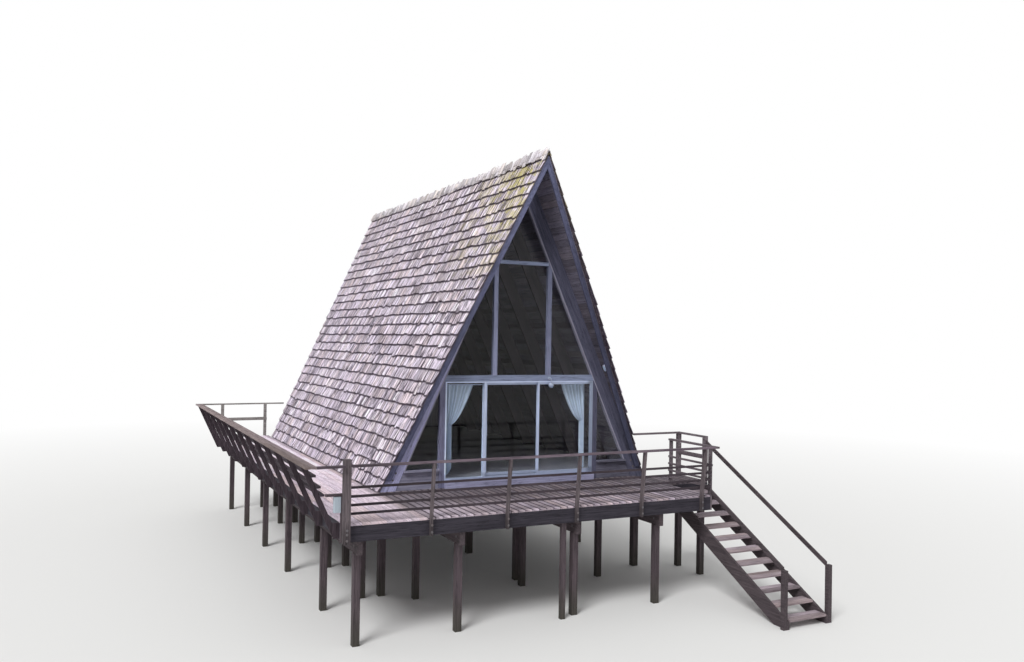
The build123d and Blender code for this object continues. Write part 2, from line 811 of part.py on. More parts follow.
with BuildPart() as front_rail:
    timber((corner_right, right_cap_x[0]), front_cap_span, front_cap_z)
    timber((side_cap_x[1], corner_x[0]), front_cap_span, front_cap_z)
    for height in rail_slat_heights:
        low = height - rail_slat_depth / 2
        inner = deck_front_y - lean_at(low)
        slat_z = (deck_height + low, deck_height + low + rail_slat_depth)
        timber((corner_right, deck_right), (inner, inner + rail_slat_thickness), slat_z)
save(front_rail, "front_rail")


def side_inner_x(z):
    """Inner face of the leaning posts at height z."""
    return -deck_left - side_run * (z - deck_beam_top) / side_rise


def side_slat(height, mode=Mode.ADD):
    """A flat board let into the posts, its middle at a height above the deck."""
    slat_z = (deck_height + height - side_slat_thickness / 2, deck_height + height + side_slat_thickness / 2)
    slat_x = side_inner_x(slat_z[1])
    timber((slat_x, slat_x + side_slat_width), (side_rail_front, deck_back_y), slat_z, mode)


# Side rail: posts that lean out from the fascia's foot, packed out to it, with flat boards under a broad cap
side_rail_front = deck_front_y + side_rail_start
side_post_step = (deck_back_y - side_rail_front - rail_post_width) / side_post_bays
side_post_corners = (
    (-deck_left, deck_beam_top),
    (-deck_left, deck_joist_top),
    (side_inner_x(deck_joist_top), deck_joist_top),
    (side_top_x, side_top_z),
    (side_top_x - side_top_depth, side_top_z),
    (-deck_left - side_top_depth, deck_beam_top),
)

with BuildPart() as side_posts:
    for i in range(side_post_bays + 1):
        y = side_rail_front + i * side_post_step
        gable_board(side_post_corners, (y, y + rail_post_width))
    for height in side_slat_heights:
        side_slat(height, Mode.SUBTRACT)
save(side_posts, "side_rail_posts")

with BuildPart() as side_slat_boards:
    for height in side_slat_heights:
        side_slat(height)
save(side_slat_boards, "side_rail_slats")

with BuildPart() as side_cap:
    timber(side_cap_x, (front_cap_span[0], deck_back_y), (side_top_z, side_top_z + rail_cap_thickness))
save(side_cap, "side_rail_cap")

# Rear rail, across the end of the side deck
with BuildPart() as rear_rail:
    post_y = (deck_back_y, deck_back_y + rail_post_width)
    for x in (-deck_left + rail_post_depth / 2, side_joist_right - rail_post_depth / 2):
        post_x = (x - rail_post_depth / 2, x + rail_post_depth / 2)
        timber(post_x, post_y, (deck_beam_top, side_top_z))
    cap_y = (deck_back_y, deck_back_y + rail_cap_width)
    timber((side_cap_x[0], rear_cap_end), cap_y, (side_top_z, side_top_z + rail_cap_thickness))
    mid_z = deck_height + mid_rail_height
    mid_y = (deck_back_y - rail_cap_thickness, deck_back_y)
    timber((-deck_left, side_joist_right), mid_y, (mid_z, mid_z + rail_cap_width))
save(rear_rail, "rear_rail")

# Right-hand rail of the deck, up to the top of the stair
right_rail_back = landing_front_y - newel_size

with BuildPart() as right_rail:
    for y in (deck_front_y, right_rail_back - rail_post_depth):
        timber(right_post_x, (y, y + rail_post_depth), (deck_beam_top, cap_bottom))
    timber(right_cap_x, (front_cap_span[0], right_rail_back), front_cap_z)
    for height in rail_slat_heights:
        slat_z = (deck_height + height - rail_slat_depth / 2, deck_height + height + rail_slat_depth / 2)
        slat_x = (deck_right - rail_slat_thickness, deck_right)
        timber(slat_x, (deck_front_y + rail_slat_thickness, right_rail_back), slat_z)
save(right_rail, "right_rail")

# Landing rail: from the roof to a newel at the back, then to a newel at the head of the stair
newel_x = (landing_right - newel_size, landing_right)
back_newel_y = (landing_back_y - newel_size, landing_back_y)
front_newel_y = (landing_front_y, landing_front_y + newel_size)
roof_face_x = slope_x(cap_bottom, 0)

with BuildPart() as landing_rail:
    timber(newel_x, back_newel_y, (deck_height, cap_bottom))
    timber(newel_x, front_newel_y, (deck_height, cap_bottom))
    timber((roof_face_x, landing_right), back_newel_y, front_cap_z)
    timber(newel_x, (landing_front_y, landing_back_y), front_cap_z)
    mid_z = (deck_height + mid_rail_height, deck_height + mid_rail_height + rail_cap_width)
    mid_x = (newel_x[0] + rail_post_width / 2, newel_x[1] - rail_post_width / 2)
    timber(mid_x, (front_newel_y[1], back_newel_y[0]), mid_z)
save(landing_rail, "landing_rail")

# Stair
stair_left = deck_right + stair_clear
stair_right = stair_left + stair_width
stair_drop = riser / stair_going
stringer_top = deck_joist_top
stringer_fall = stringer_depth * math.hypot(1, stair_drop)
stair_foot_y = landing_front_y - (stair_risers - 1) * stair_going
stringer_corners = (
    (landing_front_y, stringer_top),
    (stair_foot_y, stringer_top - (stair_risers - 1) * riser),
    (stair_foot_y, 0),
    (landing_front_y - (stringer_top - stringer_fall) / stair_drop, 0),
    (landing_front_y, stringer_top - stringer_fall),
)
tread_x = (stair_left + stringer_thickness, stair_right - stringer_thickness)

with BuildPart() as stair_stringers:
    side_board(stringer_corners, (stair_left, tread_x[0]))
    side_board(stringer_corners, (tread_x[1], stair_right))
save(stair_stringers, "stair_stringers")

with BuildPart() as stair_treads:
    for i in range(1, stair_risers):
        tread_y = landing_front_y - i * stair_going
        tread_z = deck_height - i * riser
        timber(tread_x, (tread_y, tread_y + tread_depth), (tread_z - tread_thickness, tread_z))
save(stair_treads, "stair_treads")


def stair_rail_bar(start_y, end_y, x_span, height):
    """A rail that follows the stair between two posts, height above the line of the treads."""
    start_z = deck_height + height - (landing_front_y - start_y) * stair_drop
    end_z = deck_height + height - (landing_front_y - end_y) * stair_drop
    corners = (
        (start_y, start_z),
        (end_y, end_z),
        (end_y, end_z - rail_cap_width),
        (start_y, start_z - rail_cap_width),
    )
    side_board(corners, x_span)


foot_newel_y = (stair_foot_y, stair_foot_y + newel_size)
foot_newel_top = stair_rail_rise + riser
foot_newels = ((stair_left - newel_size, stair_left), (stair_right, stair_right + newel_size))
right_bar_x = (stair_right + rail_post_width / 2, stair_right + newel_size - rail_post_width)

with BuildPart() as stair_rail:
    for span in foot_newels:
        timber(span, foot_newel_y, (0, foot_newel_top))
    stair_rail_bar(landing_front_y, foot_newel_y[1], right_bar_x, stair_rail_rise)
    stair_rail_bar(deck_front_y, foot_newel_y[1], right_post_x, stair_rail_rise)
save(stair_rail, "stair_rail")

# Fittings
with BuildPart() as porch_lights:
    arm_z = beam_bottom + globe_arm_rise
    globe_y = front_wall_y - globe_arm_reach
    globe_top = arm_z - globe_neck
    with Locations((globe_x, globe_y, globe_top - globe_radius)):
        Sphere(globe_radius)
    with Locations((globe_x, globe_y, globe_top - globe_arm_radius)):
        neck_seat = (Align.CENTER, Align.CENTER, Align.MIN)
        Cylinder(globe_arm_radius, globe_neck + globe_arm_radius, align=neck_seat)
    with BuildSketch(Plane.XZ.offset(-globe_y)) as globe_arm:
        with Locations((globe_x, arm_z)):
            Circle(globe_arm_radius)
    extrude(to_extrude=globe_arm.sketch, amount=-globe_arm_reach)
    with BuildSketch(Plane.XZ.offset(-front_wall_y)) as globe_base:
        with Locations((globe_x, arm_z)):
            Circle(globe_base_radius)
    extrude(to_extrude=globe_base.sketch, amount=globe_base_thickness)
    leg_z = deck_height + leg_light_rise
    leg_centre = (slope_x(leg_z, roof_skin), front_wall_y - leg_light_forward, leg_z)
    with BuildSketch(Plane(origin=leg_centre, x_dir=(0, 1, 0), z_dir=(-1, 0, -slope))) as leg_face:
        Ellipse(leg_light_width / 2, leg_light_height / 2)
    extrude(to_extrude=leg_face.sketch, amount=leg_light_depth)
    leg_rim = porch_lights.edges().filter_by(GeomType.ELLIPSE).sort_by(Axis.X)[0]
    fillet(leg_rim, leg_light_rounding)
save(porch_lights, "porch_lights")

outlet_post_x = (-deck_left - outlet_post_size, -deck_left)
outlet_post_y = (deck_front_y, deck_front_y + outlet_post_size)
with BuildPart() as outlet_post:
    timber(outlet_post_x, outlet_post_y, (deck_beam_top, deck_height + outlet_post_rise))
    corner_rail_z = (deck_height + outlet_post_rise, deck_height + outlet_post_rise + rail_cap_thickness)
    timber((-deck_left - corner_rail_length, -deck_left), outlet_post_y, corner_rail_z)
save(outlet_post, "outlet_post")

outlet_top = deck_height + outlet_post_rise - outlet_box_drop
with BuildPart() as outlet_box:
    box_x = (outlet_post_x[0] - outlet_box_width, outlet_post_x[0])
    box_y = (outlet_post_y[0], outlet_post_y[0] + outlet_box_depth)
    timber(box_x, box_y, (outlet_top - outlet_box_height, outlet_top))
    fillet(outlet_box.edges().filter_by(Axis.Z), outlet_box_rounding)
save(outlet_box, "outlet_box")
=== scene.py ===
"""Looks of the A-frame cabin: split shakes, weathered boards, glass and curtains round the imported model.

Metres, +Z up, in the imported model's own frame.
"""

import math
import random

import bmesh
import bpy
import numpy as np
from mathutils import Matrix, Vector


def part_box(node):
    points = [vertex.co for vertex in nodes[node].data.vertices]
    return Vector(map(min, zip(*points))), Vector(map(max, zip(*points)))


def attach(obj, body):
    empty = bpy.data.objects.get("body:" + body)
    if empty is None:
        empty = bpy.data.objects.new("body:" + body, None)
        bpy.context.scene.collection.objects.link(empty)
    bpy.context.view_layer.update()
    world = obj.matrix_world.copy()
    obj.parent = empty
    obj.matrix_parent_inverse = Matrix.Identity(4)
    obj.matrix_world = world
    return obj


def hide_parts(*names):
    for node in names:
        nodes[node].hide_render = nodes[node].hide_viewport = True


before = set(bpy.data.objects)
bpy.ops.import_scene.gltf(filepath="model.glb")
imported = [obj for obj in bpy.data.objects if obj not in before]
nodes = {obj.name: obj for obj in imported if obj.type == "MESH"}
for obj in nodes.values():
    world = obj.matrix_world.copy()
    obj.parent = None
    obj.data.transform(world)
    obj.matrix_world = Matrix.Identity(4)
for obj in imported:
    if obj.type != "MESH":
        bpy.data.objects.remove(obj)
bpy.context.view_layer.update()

# Sizes that the pieces share with the model
deck_z = 2.1
half_base = 3.2
ridge_rise = 6.985
ridge_z = deck_z + ridge_rise
wall_front = -5.24
wall_rear = 5.24
overhang_front = 1.05
overhang_rear = 0.33
roof_skin = 0.047
rafter_inside = 0.333
slope_length = math.hypot(half_base, ridge_rise)
lean_in = half_base / slope_length
lean_up = ridge_rise / slope_length
deck_front = -7.93
deck_back = 5.63
deck_left = -4.62
deck_right = 2.95
deck_board = 0.038

# Camera, fitted to the photograph
focal_pixels = 883.3259
picture_width = 1024
film_width = 36
camera_place = (-8.7097, -22.1718, 5.204)
farthest_seen = 2000
yaw, pitch, roll = math.radians(26.5007), math.radians(-0.4984), math.radians(0.9294)
up = Vector((0, 0, 1))
level_right = Vector((math.cos(yaw), -math.sin(yaw), 0))
level_forward = Vector((math.sin(yaw), math.cos(yaw), 0))
forward = level_forward * math.cos(pitch) - up * math.sin(pitch)
upward = up * math.cos(pitch) + level_forward * math.sin(pitch)
turned_right = level_right * math.cos(roll) + upward * math.sin(roll)
turned_up = upward * math.cos(roll) - level_right * math.sin(roll)

camera_data = bpy.data.cameras.new("camera")
camera_data.sensor_width = film_width
camera_data.lens = focal_pixels / picture_width * film_width
camera_data.clip_end = farthest_seen
camera = bpy.data.objects.new("camera", camera_data)
camera_rows = [[turned_right[i], turned_up[i], -forward[i], camera_place[i]] for i in range(3)]
camera.matrix_world = Matrix([*camera_rows, [0, 0, 0, 1]])
bpy.context.scene.collection.objects.link(camera)
bpy.context.scene.camera = camera


# Looks. Paint and stain stay darker than brightest, and most noise lies in middle.
brightest = (0.95, 0.93, 0.97)
middle = (0.34, 0.66)
damp_and_shadow_wood = (0.031, 0.018, 0.034)
damp_foot = (0.05, 0.055, 0.035)
damp_reach = 0.7
moss_colour = (0.57, 0.51, 0.18)
moss_heights = (5.6, 8.4)
moss_places = (-2.4, -5.8)
lichen_colour = (0.60, 0.57, 0.36)
pane_dust = (0.6, 0.6, 0.58)
pane_shade = (0.96, 0.975, 0.985)
lamp_dust = (0.36, 0.38, 0.44)
thread_pitch = 5200.0


def shade(red, green, blue):
    return (red, green, blue, 1.0)


class Nodes:
    """A node tree, built up in code."""

    def __init__(self, tree):
        self.tree = tree

    def node(self, kind, inputs=None, **settings):
        made = self.tree.nodes.new(kind)
        for key, value in settings.items():
            setattr(made, key, value)
        for key, value in (inputs or {}).items():
            self.feed(made.inputs[key], value)
        return made

    def feed(self, socket, value):
        if isinstance(value, bpy.types.NodeSocket):
            self.tree.links.new(value, socket)
        else:
            socket.default_value = value

    def math(self, operation, a, b=0.0, clamp=False):
        return self.node("ShaderNodeMath", {0: a, 1: b}, operation=operation, use_clamp=clamp).outputs[0]

    def spread(self, value, low, high, to_low=0.0, to_high=1.0):
        """value from low..high to to_low..to_high, clamped."""
        keys = {"Value": value, "From Min": low, "From Max": high, "To Min": to_low, "To Max": to_high}
        return self.node("ShaderNodeMapRange", keys, clamp=True).outputs[0]

    def mix(self, factor, a, b):
        made = self.node("ShaderNodeMix", {0: factor, 6: a, 7: b}, data_type="RGBA")
        return made.outputs[2]

    def scale(self, vector, factor):
        return self.node("ShaderNodeVectorMath", {0: vector, "Scale": factor}, operation="SCALE").outputs[0]

    def stretch(self, vector, factors):
        return self.node("ShaderNodeVectorMath", {0: vector, 1: factors}, operation="MULTIPLY").outputs[0]

    def parts(self, vector):
        return self.node("ShaderNodeSeparateXYZ", {0: vector}).outputs

    def faded(self, colour, painted_lights):
        """colour times a factor for each band of painted light and shade: (axis, from, to, first factor,
        last factor).
        """
        where = self.parts(self.place())
        for axis, *limits in painted_lights:
            colour = self.scale(colour, self.spread(where[axis], *limits))
        return colour

    def below_white(self, colour):
        return self.node("ShaderNodeVectorMath", {0: colour, 1: brightest}, operation="MINIMUM").outputs[0]

    def looked(self):
        """1 for what the eye sees, straight or by a shine or through glass, and 0 for other light."""
        rays = self.node("ShaderNodeLightPath").outputs
        seen = self.math("MAXIMUM", rays["Is Camera Ray"], rays["Is Glossy Ray"])
        return self.math("MAXIMUM", seen, rays["Is Transmission Ray"])

    def noise(self, vector, scale, detail, roughness):
        keys = {"Vector": vector, "Scale": scale, "Detail": detail, "Roughness": roughness}
        return self.node("ShaderNodeTexNoise", keys).outputs[0]

    def place(self):
        return self.node("ShaderNodeTexCoord").outputs["Object"]

    def grain(self, way):
        """A vector of across, along and through the grain, in metres."""
        if way == "map":
            return self.node("ShaderNodeUVMap", uv_map="grain").outputs[0]
        x, y, z = self.parts(self.place())
        if way == "slope":
            side = self.math("ABSOLUTE", x)
            down, inward = self.math("MULTIPLY", z, lean_up), self.math("MULTIPLY", side, lean_in)
            along = self.math("SUBTRACT", down, inward)
            level_in, level_up = self.math("MULTIPLY", z, lean_in), self.math("MULTIPLY", side, lean_up)
            across = self.math("ADD", level_in, level_up)
            order = (across, along, y)
        elif way == "level":
            normal = self.node("ShaderNodeNewGeometry").outputs["Normal"]
            facing = self.parts(normal)[0]
            on_side = self.math("GREATER_THAN", self.math("ABSOLUTE", facing), 0.5)
            along = self.node("ShaderNodeMix", {0: on_side, 2: x, 3: y}).outputs[0]
            through = self.node("ShaderNodeMix", {0: on_side, 2: y, 3: x}).outputs[0]
            order = (z, along, through)
        else:
            order = {"x": (y, x, z), "y": (x, y, z), "z": (x, z, y)}[way]
        return self.node("ShaderNodeCombineXYZ", {0: order[0], 1: order[1], 2: order[2]}).outputs[0]

    def bump(self, height, distance):
        keys = {"Height": height, "Distance": distance, "Strength": 1.0}
        return self.node("ShaderNodeBump", keys).outputs[0]

    def surface(self, colour, roughness, normal=None, **fixed):
        """A principled surface; fixed names its plain inputs with _ for each space."""
        made = self.node("ShaderNodeBsdfPrincipled")
        self.feed(made.inputs["Base Color"], colour)
        self.feed(made.inputs["Roughness"], roughness)
        if normal is not None:
            self.feed(made.inputs["Normal"], normal)
        for key, value in fixed.items():
            made.inputs[key.replace("_", " ")].default_value = value
        return made.outputs[0]


class Shader(Nodes):
    """One node material."""

    def __init__(self, name):
        self.material = bpy.data.materials.new(name)
        self.material.use_nodes = True
        super().__init__(self.material.node_tree)
        self.tree.nodes.clear()
        self.output = self.tree.nodes.new("ShaderNodeOutputMaterial")

    def done(self, shader):
        self.tree.links.new(shader, self.output.inputs[0])
        return self.material


def wood(name, way, pale, dark, toned=False, cracks=0.6, depth=0.0025, broad=(26.0, 0.33), **extra):
    """Weathered wood: fine and broad streaks, patches and cracks along the grain.
    broad is (streaks a metre, share) of the broad streaks. extra may have splits (cracks a metre, narrow,
    wide), moss, a moist foot darkened towards the ground, bands of painted light and shade by place (see
    Nodes), and lit: painted light and shade the same way, but only the largest of its factors counts."""
    s = Shader(name)
    place = s.grain(way)
    solid = s.place()
    where = s.parts(solid)
    fine = s.spread(s.noise(s.stretch(place, (95.0, 2.6, 95.0)), 1.0, 3.0, 0.6), *middle)
    streaked = s.stretch(place, (broad[0], 0.8, broad[0]))
    wide = s.spread(s.noise(streaked, 1.0, 2.0, 0.5), *middle)
    patch = s.spread(s.noise(solid, 0.9, 4.0, 0.6), 0.32, 0.68)
    streaks = s.math("ADD", s.math("MULTIPLY", fine, 0.75 - broad[1]), s.math("MULTIPLY", wide, broad[1]))
    value = s.math("ADD", streaks, s.math("MULTIPLY", patch, 0.25))
    colour = s.mix(value, shade(*dark), shade(*pale))
    splits = extra.get("splits", (48.0, 0.004, 0.02))
    line = s.noise(s.stretch(place, (splits[0], 1.2, splits[0])), 1.0, 2.0, 0.55)
    near = s.math("ABSOLUTE", s.math("SUBTRACT", line, 0.5))
    crack = s.spread(near, splits[1], splits[2], 1.0, 0.0)
    colour = s.mix(s.math("MULTIPLY", crack, cracks), colour, shade(*[c * 0.22 for c in dark]))
    if toned:
        tone = s.node("ShaderNodeAttribute", attribute_name="tone")
        parts = s.node("ShaderNodeSeparateColor", {0: tone.outputs["Color"]})
        warm = s.stretch(colour, (1.08, 1.0, 0.86))
        colour = s.mix(s.math("MULTIPLY", parts.outputs[1], 0.7), colour, warm)
        colour = s.scale(colour, s.spread(parts.outputs[0], 0.0, 1.0, 0.5, 1.5))
    if "moss" in extra:
        high = s.spread(where[2], *moss_heights)
        front = s.spread(where[1], *moss_places)
        grown = s.spread(s.noise(solid, 2.6, 4.0, 0.7), 0.44, 0.54)
        speck = s.spread(s.noise(solid, 13.0, 3.0, 0.7), 0.38, 0.52, 0.2, 1.0)
        reach = s.math("MULTIPLY", high, s.spread(front, 0.0, 1.0, 0.1, extra["moss"]))
        amount = s.math("MULTIPLY", s.math("MULTIPLY", grown, speck), reach)
        lichen = s.spread(s.noise(solid, 34.0, 2.0, 0.6), 0.62, 0.72)
        scattered = s.math("MULTIPLY", lichen, s.spread(patch, 0.5, 1.0, 0.0, 0.35))
        colour = s.mix(scattered, colour, shade(*lichen_colour))
        colour = s.mix(s.math("MULTIPLY", amount, 0.95, clamp=True), colour, shade(*moss_colour))
    # Toned boards darken towards moist wood where their points say: moisture, and on the shakes also painted
    # shadow under the next course's butts.
    if toned:
        uneven = s.spread(s.noise(solid, 30.0, 2.0, 0.6), 0.3, 0.7, 0.75, 1.25)
        how_dark = s.math("MULTIPLY", parts.outputs[2], uneven, clamp=True)
        colour = s.mix(s.math("MULTIPLY", how_dark, 0.94), colour, shade(*damp_and_shadow_wood))
    # Painted light and shade: colour made lighter or darker by place.
    colour = s.faded(colour, extra.get("faded", ()))
    # lit: painted light and shade too, colour scaled by place with only the largest factor counting.
    if "lit" in extra:
        factor = 0.0
        for axis, *limits in extra["lit"]:
            factor = s.math("MAXIMUM", factor, s.spread(where[axis], *limits))
        colour = s.scale(colour, factor)
    colour = s.below_white(colour)
    if "damp" in extra:
        how_dark = s.spread(where[2], 0.0, damp_reach, extra["damp"], 0.0)
        colour = s.mix(how_dark, colour, shade(*damp_foot))
    height = s.math("ADD", s.math("MULTIPLY", fine, 0.55), s.math("MULTIPLY", wide, 0.45))
    height = s.math("SUBTRACT", height, s.math("MULTIPLY", crack, 0.9))
    rough = s.spread(value, 0.0, 1.0, 0.92, 0.78)
    return s.done(s.surface(colour, rough, s.bump(height, depth), Specular_IOR_Level=0.25))


def metal_paint(name, colour, dirt, roughness=0.38, faded=()):
    """Painted or powder-coated metal, with dust in broad patches and small scuffs, and light and shade
    painted in by place.
    """
    s = Shader(name)
    solid = s.place()
    patch = s.spread(s.noise(solid, 2.2, 4.0, 0.6), 0.42, 0.72)
    speck = s.spread(s.noise(solid, 60.0, 2.0, 0.6), 0.60, 0.74)
    amount = s.math("ADD", s.math("MULTIPLY", patch, 0.35), s.math("MULTIPLY", speck, 0.2), clamp=True)
    painted = s.mix(amount, shade(*colour), shade(*dirt))
    # Painted light and shade by place.
    painted = s.below_white(s.faded(painted, faded))
    rough = s.spread(amount, 0.0, 0.6, roughness, roughness + 0.3)
    fine = s.noise(solid, 240.0, 2.0, 0.5)
    return s.done(s.surface(painted, rough, s.bump(fine, 0.0004), Specular_IOR_Level=0.4))


def window_glass(name, tint):
    """Old float glass: slightly wavy, with faint dust, and open to the lamps' light."""
    s = Shader(name)
    solid = s.place()
    wave = s.noise(solid, 0.8, 1.0, 0.4)
    dust = s.spread(s.noise(solid, 5.0, 5.0, 0.7), 0.5, 0.9, 0.0, 0.05)
    tinted = s.mix(dust, shade(*tint), shade(*pane_dust))
    glass = s.surface(tinted, dust, s.bump(wave, 0.0012), Transmission_Weight=1.0, IOR=1.22)
    clear = s.node("ShaderNodeBsdfTransparent", {0: shade(*pane_shade)}).outputs[0]
    lamp_ray = s.node("ShaderNodeLightPath").outputs["Is Shadow Ray"]
    return s.done(s.node("ShaderNodeMixShader", {0: lamp_ray, 1: glass, 2: clear}).outputs[0])


def cloth(name, colour, faded):
    """Thin plain-woven cotton that lets some light through, with greyer patches and slubs, painted shade in
    the back of its folds, and light and shade painted in by place.
    """
    s = Shader(name)
    place = s.grain("map")
    warp, weft = [s.math("SINE", s.math("MULTIPLY", part, thread_pitch)) for part in s.parts(place)[:2]]
    weave = s.math("MULTIPLY", warp, weft)
    fold = s.node("ShaderNodeAttribute", attribute_name="fold").outputs["Fac"]
    slub = s.noise(s.stretch(place, (9.0, 160.0, 1.0)), 1.0, 3.0, 0.6)
    patch = s.spread(s.noise(s.place(), 2.6, 3.0, 0.6), 0.35, 0.7)
    tinted = s.mix(s.math("MULTIPLY", patch, 0.5), shade(*colour), shade(*[c * 0.92 for c in colour]))
    tinted = s.mix(s.spread(slub, 0.55, 0.7, 0.0, 0.25), tinted, shade(*[c * 0.78 for c in colour]))
    # Painted shade: darker towards the back of each fold.
    tinted = s.scale(tinted, s.spread(fold, 0.1, 0.9, 1.0, 0.66))
    # Painted light and shade by place.
    tinted = s.faded(tinted, faded)
    height = s.math("ADD", s.math("MULTIPLY", weave, 0.3), slub)
    body = s.surface(tinted, 0.9, s.bump(height, 0.0006), Sheen_Weight=0.25, Specular_IOR_Level=0.2)
    through = s.node("ShaderNodeBsdfTranslucent", {0: tinted}).outputs[0]
    return s.done(s.node("ShaderNodeMixShader", {0: 0.18, 1: body, 2: through}).outputs[0])


def planked(name, pale, dark, width):
    """A worn painted floor, its boards along y."""
    s = Shader(name)
    x, y = s.parts(s.place())[:2]
    count = s.math("DIVIDE", x, width)
    number = s.math("FLOOR", count)
    edge = s.math("ABSOLUTE", s.math("SUBTRACT", s.math("FRACT", count), 0.5))
    gap = s.spread(edge, 0.47, 0.49)
    shift = s.math("MULTIPLY", number, 3.7)
    place = s.node("ShaderNodeCombineXYZ", {0: x, 1: s.math("ADD", y, shift), 2: shift}).outputs[0]
    fine = s.spread(s.noise(s.stretch(place, (80.0, 2.0, 1.0)), 1.0, 3.0, 0.6), 0.35, 0.65)
    worn = s.spread(s.noise(s.place(), 1.4, 4.0, 0.65), 0.4, 0.65)
    value = s.math("ADD", s.math("MULTIPLY", fine, 0.4), s.math("MULTIPLY", worn, 0.6))
    colour = s.mix(value, shade(*dark), shade(*pale))
    colour = s.mix(gap, colour, shade(0.02, 0.02, 0.02))
    height = s.math("SUBTRACT", s.math("MULTIPLY", fine, 0.3), gap)
    rough = s.spread(value, 0.0, 1.0, 0.5, 0.75)
    return s.done(s.surface(colour, rough, s.bump(height, 0.002), Specular_IOR_Level=0.35))


def opal(name, colour, faded):
    """Opal lamp glass, with a little dust on it, and light painted in by place."""
    s = Shader(name)
    dust = s.spread(s.noise(s.place(), 18.0, 4.0, 0.6), 0.45, 0.75, 0.0, 0.35)
    tinted = s.faded(s.mix(dust, shade(*colour), shade(*lamp_dust)), faded)
    rough = s.spread(dust, 0.0, 0.35, 0.18, 0.5)
    return s.done(s.surface(tinted, rough, Subsurface_Weight=0.15, Specular_IOR_Level=0.5))


def shake_look(name, pale, dark, cracks, moss):
    """Split wood, its cracks and broad streaks coarser than those of sawn boards."""
    splits = (13.0, 0.012, 0.055)
    return wood(name, "map", pale, dark, True, cracks, 0.006, (14.0, 0.50), moss=moss, splits=splits)


shake_wood = shake_look("split_shakes", (1.03, 0.935, 1.08), (0.52, 0.440, 0.56), 0.95, 1.0)
ridge_wood = shake_look("ridge_shakes", (0.86, 0.82, 0.88), (0.55, 0.505, 0.56), 0.4, 0.1)
# Soffit boards painted up to twice as light towards the top: painted light.
soffit_look = {"faded": [(2, 5.5, 8.8, 1.0, 2.0)]}
soffit_wood = wood("soffit_boards", "map", (0.170, 0.158, 0.205), (0.064, 0.059, 0.081), True, **soffit_look)
# Deck painted about twice as light on the side deck and along the front edge, darker under the roof and to
# the right, lighter further back: painted light and shade.
deck_lit = [(0, -3.4, -3.1, 2.1, 0.0), (1, -7.6, -6.7, 1.9, 0.62)]
deck_painted_light = [(0, 1.5, 2.9, 1.0, 0.75), (1, -7.2, -5.0, 0.8, 0.92), (1, -3.2, -1.5, 1.0, 1.25)]
deck_look = {"lit": deck_lit, "faded": deck_painted_light}
deck_wood = wood("deck_boards", "map", (0.52, 0.450, 0.515), (0.225, 0.187, 0.225), True, **deck_look)
tread_wood = wood("tread_boards", "map", (0.49, 0.415, 0.46), (0.23, 0.188, 0.220), True)
# Front rafters painted lighter on the left and darker on the right: painted light and shade.
leg_painted_light = [(0, -0.3, 0.3, 2.4, 0.52)]
leg_wood = wood("leg_paint", "slope", (0.285, 0.285, 0.43), (0.098, 0.098, 0.155), faded=leg_painted_light)
inner_wood = wood("inner_rafter_wood", "slope", (0.105, 0.092, 0.105), (0.042, 0.037, 0.045))
# Barge boards painted darker on the right and lighter towards the top: painted light and shade.
barge_painted_light = [(0, -0.3, 0.3, 1.0, 0.7), (2, 5.5, 8.5, 1.0, 1.7)]
barge_wood = wood("barge_paint", "slope", (0.145, 0.152, 0.255), (0.062, 0.066, 0.115), faded=barge_painted_light)
trim_wood = wood("trim_paint_slope", "slope", (0.40, 0.39, 0.50), (0.23, 0.22, 0.29), cracks=0.35)
# Gable mullions painted lighter on the left: painted light.
upright_painted_light = [(0, -0.5, 0.5, 1.5, 1.0)]
pale_upright = wood("trim_paint_upright", "z", (0.27, 0.29, 0.43), (0.155, 0.165, 0.25), faded=upright_painted_light)
# Head beam and transom painted lighter up high: painted light.
level_painted_light = [(2, 5.0, 6.0, 1.0, 1.3)]
pale_level = wood("trim_paint_level", "x", (0.30, 0.345, 0.50), (0.175, 0.20, 0.30), faded=level_painted_light)
# Gable posts and base walls painted darker towards the right: painted shade.
right_painted_shade = [(0, -0.5, 2.2, 1.0, 0.5)]
grey_upright = wood("grey_paint_upright", "z", (0.25, 0.25, 0.38), (0.12, 0.12, 0.19), faded=right_painted_shade)
grey_level = wood("grey_paint_level", "x", (0.38, 0.37, 0.49), (0.15, 0.147, 0.21), faded=right_painted_shade)
curb_wood = wood("curb_paint", "x", (0.50, 0.495, 0.72), (0.22, 0.220, 0.33))
wall_wood = wood("wall_boards", "map", (0.25, 0.24, 0.31), (0.11, 0.105, 0.14), True)
fascia_wood = wood("dark_stain_level", "level", (0.062, 0.055, 0.072), (0.019, 0.017, 0.024))
dark_upright = wood("dark_stain_upright", "z", (0.130, 0.100, 0.112), (0.042, 0.032, 0.040), damp=0.6)
lean_wood = wood("dark_stain_leaning", "z", (0.088, 0.066, 0.080), (0.030, 0.022, 0.029))
dark_along = wood("dark_stain_along", "y", (0.12, 0.095, 0.104), (0.044, 0.035, 0.041))
dark_across = wood("dark_stain_across", "x", (0.12, 0.095, 0.104), (0.044, 0.035, 0.041))
# Slat stain darkened for the shade on the slats' outer faces: partly stain, partly painted shade.
slat_stain_and_shade_wood = wood("slat_stain_and_shade", "y", (0.12, 0.095, 0.115), (0.042, 0.033, 0.042))
# Front rail painted much lighter on its top face and darker at its left end: painted light and shade.
cap_painted_light = [(2, 3.045, 3.05, 1.0, 2.6), (0, -4.2, -2.8, 0.6, 1.0)]
rail_level = wood("rail_stain_across", "x", (0.092, 0.072, 0.086), (0.028, 0.021, 0.028), faded=cap_painted_light)
rail_dark = wood("rail_stain_level", "level", (0.25, 0.21, 0.23), (0.080, 0.066, 0.077))
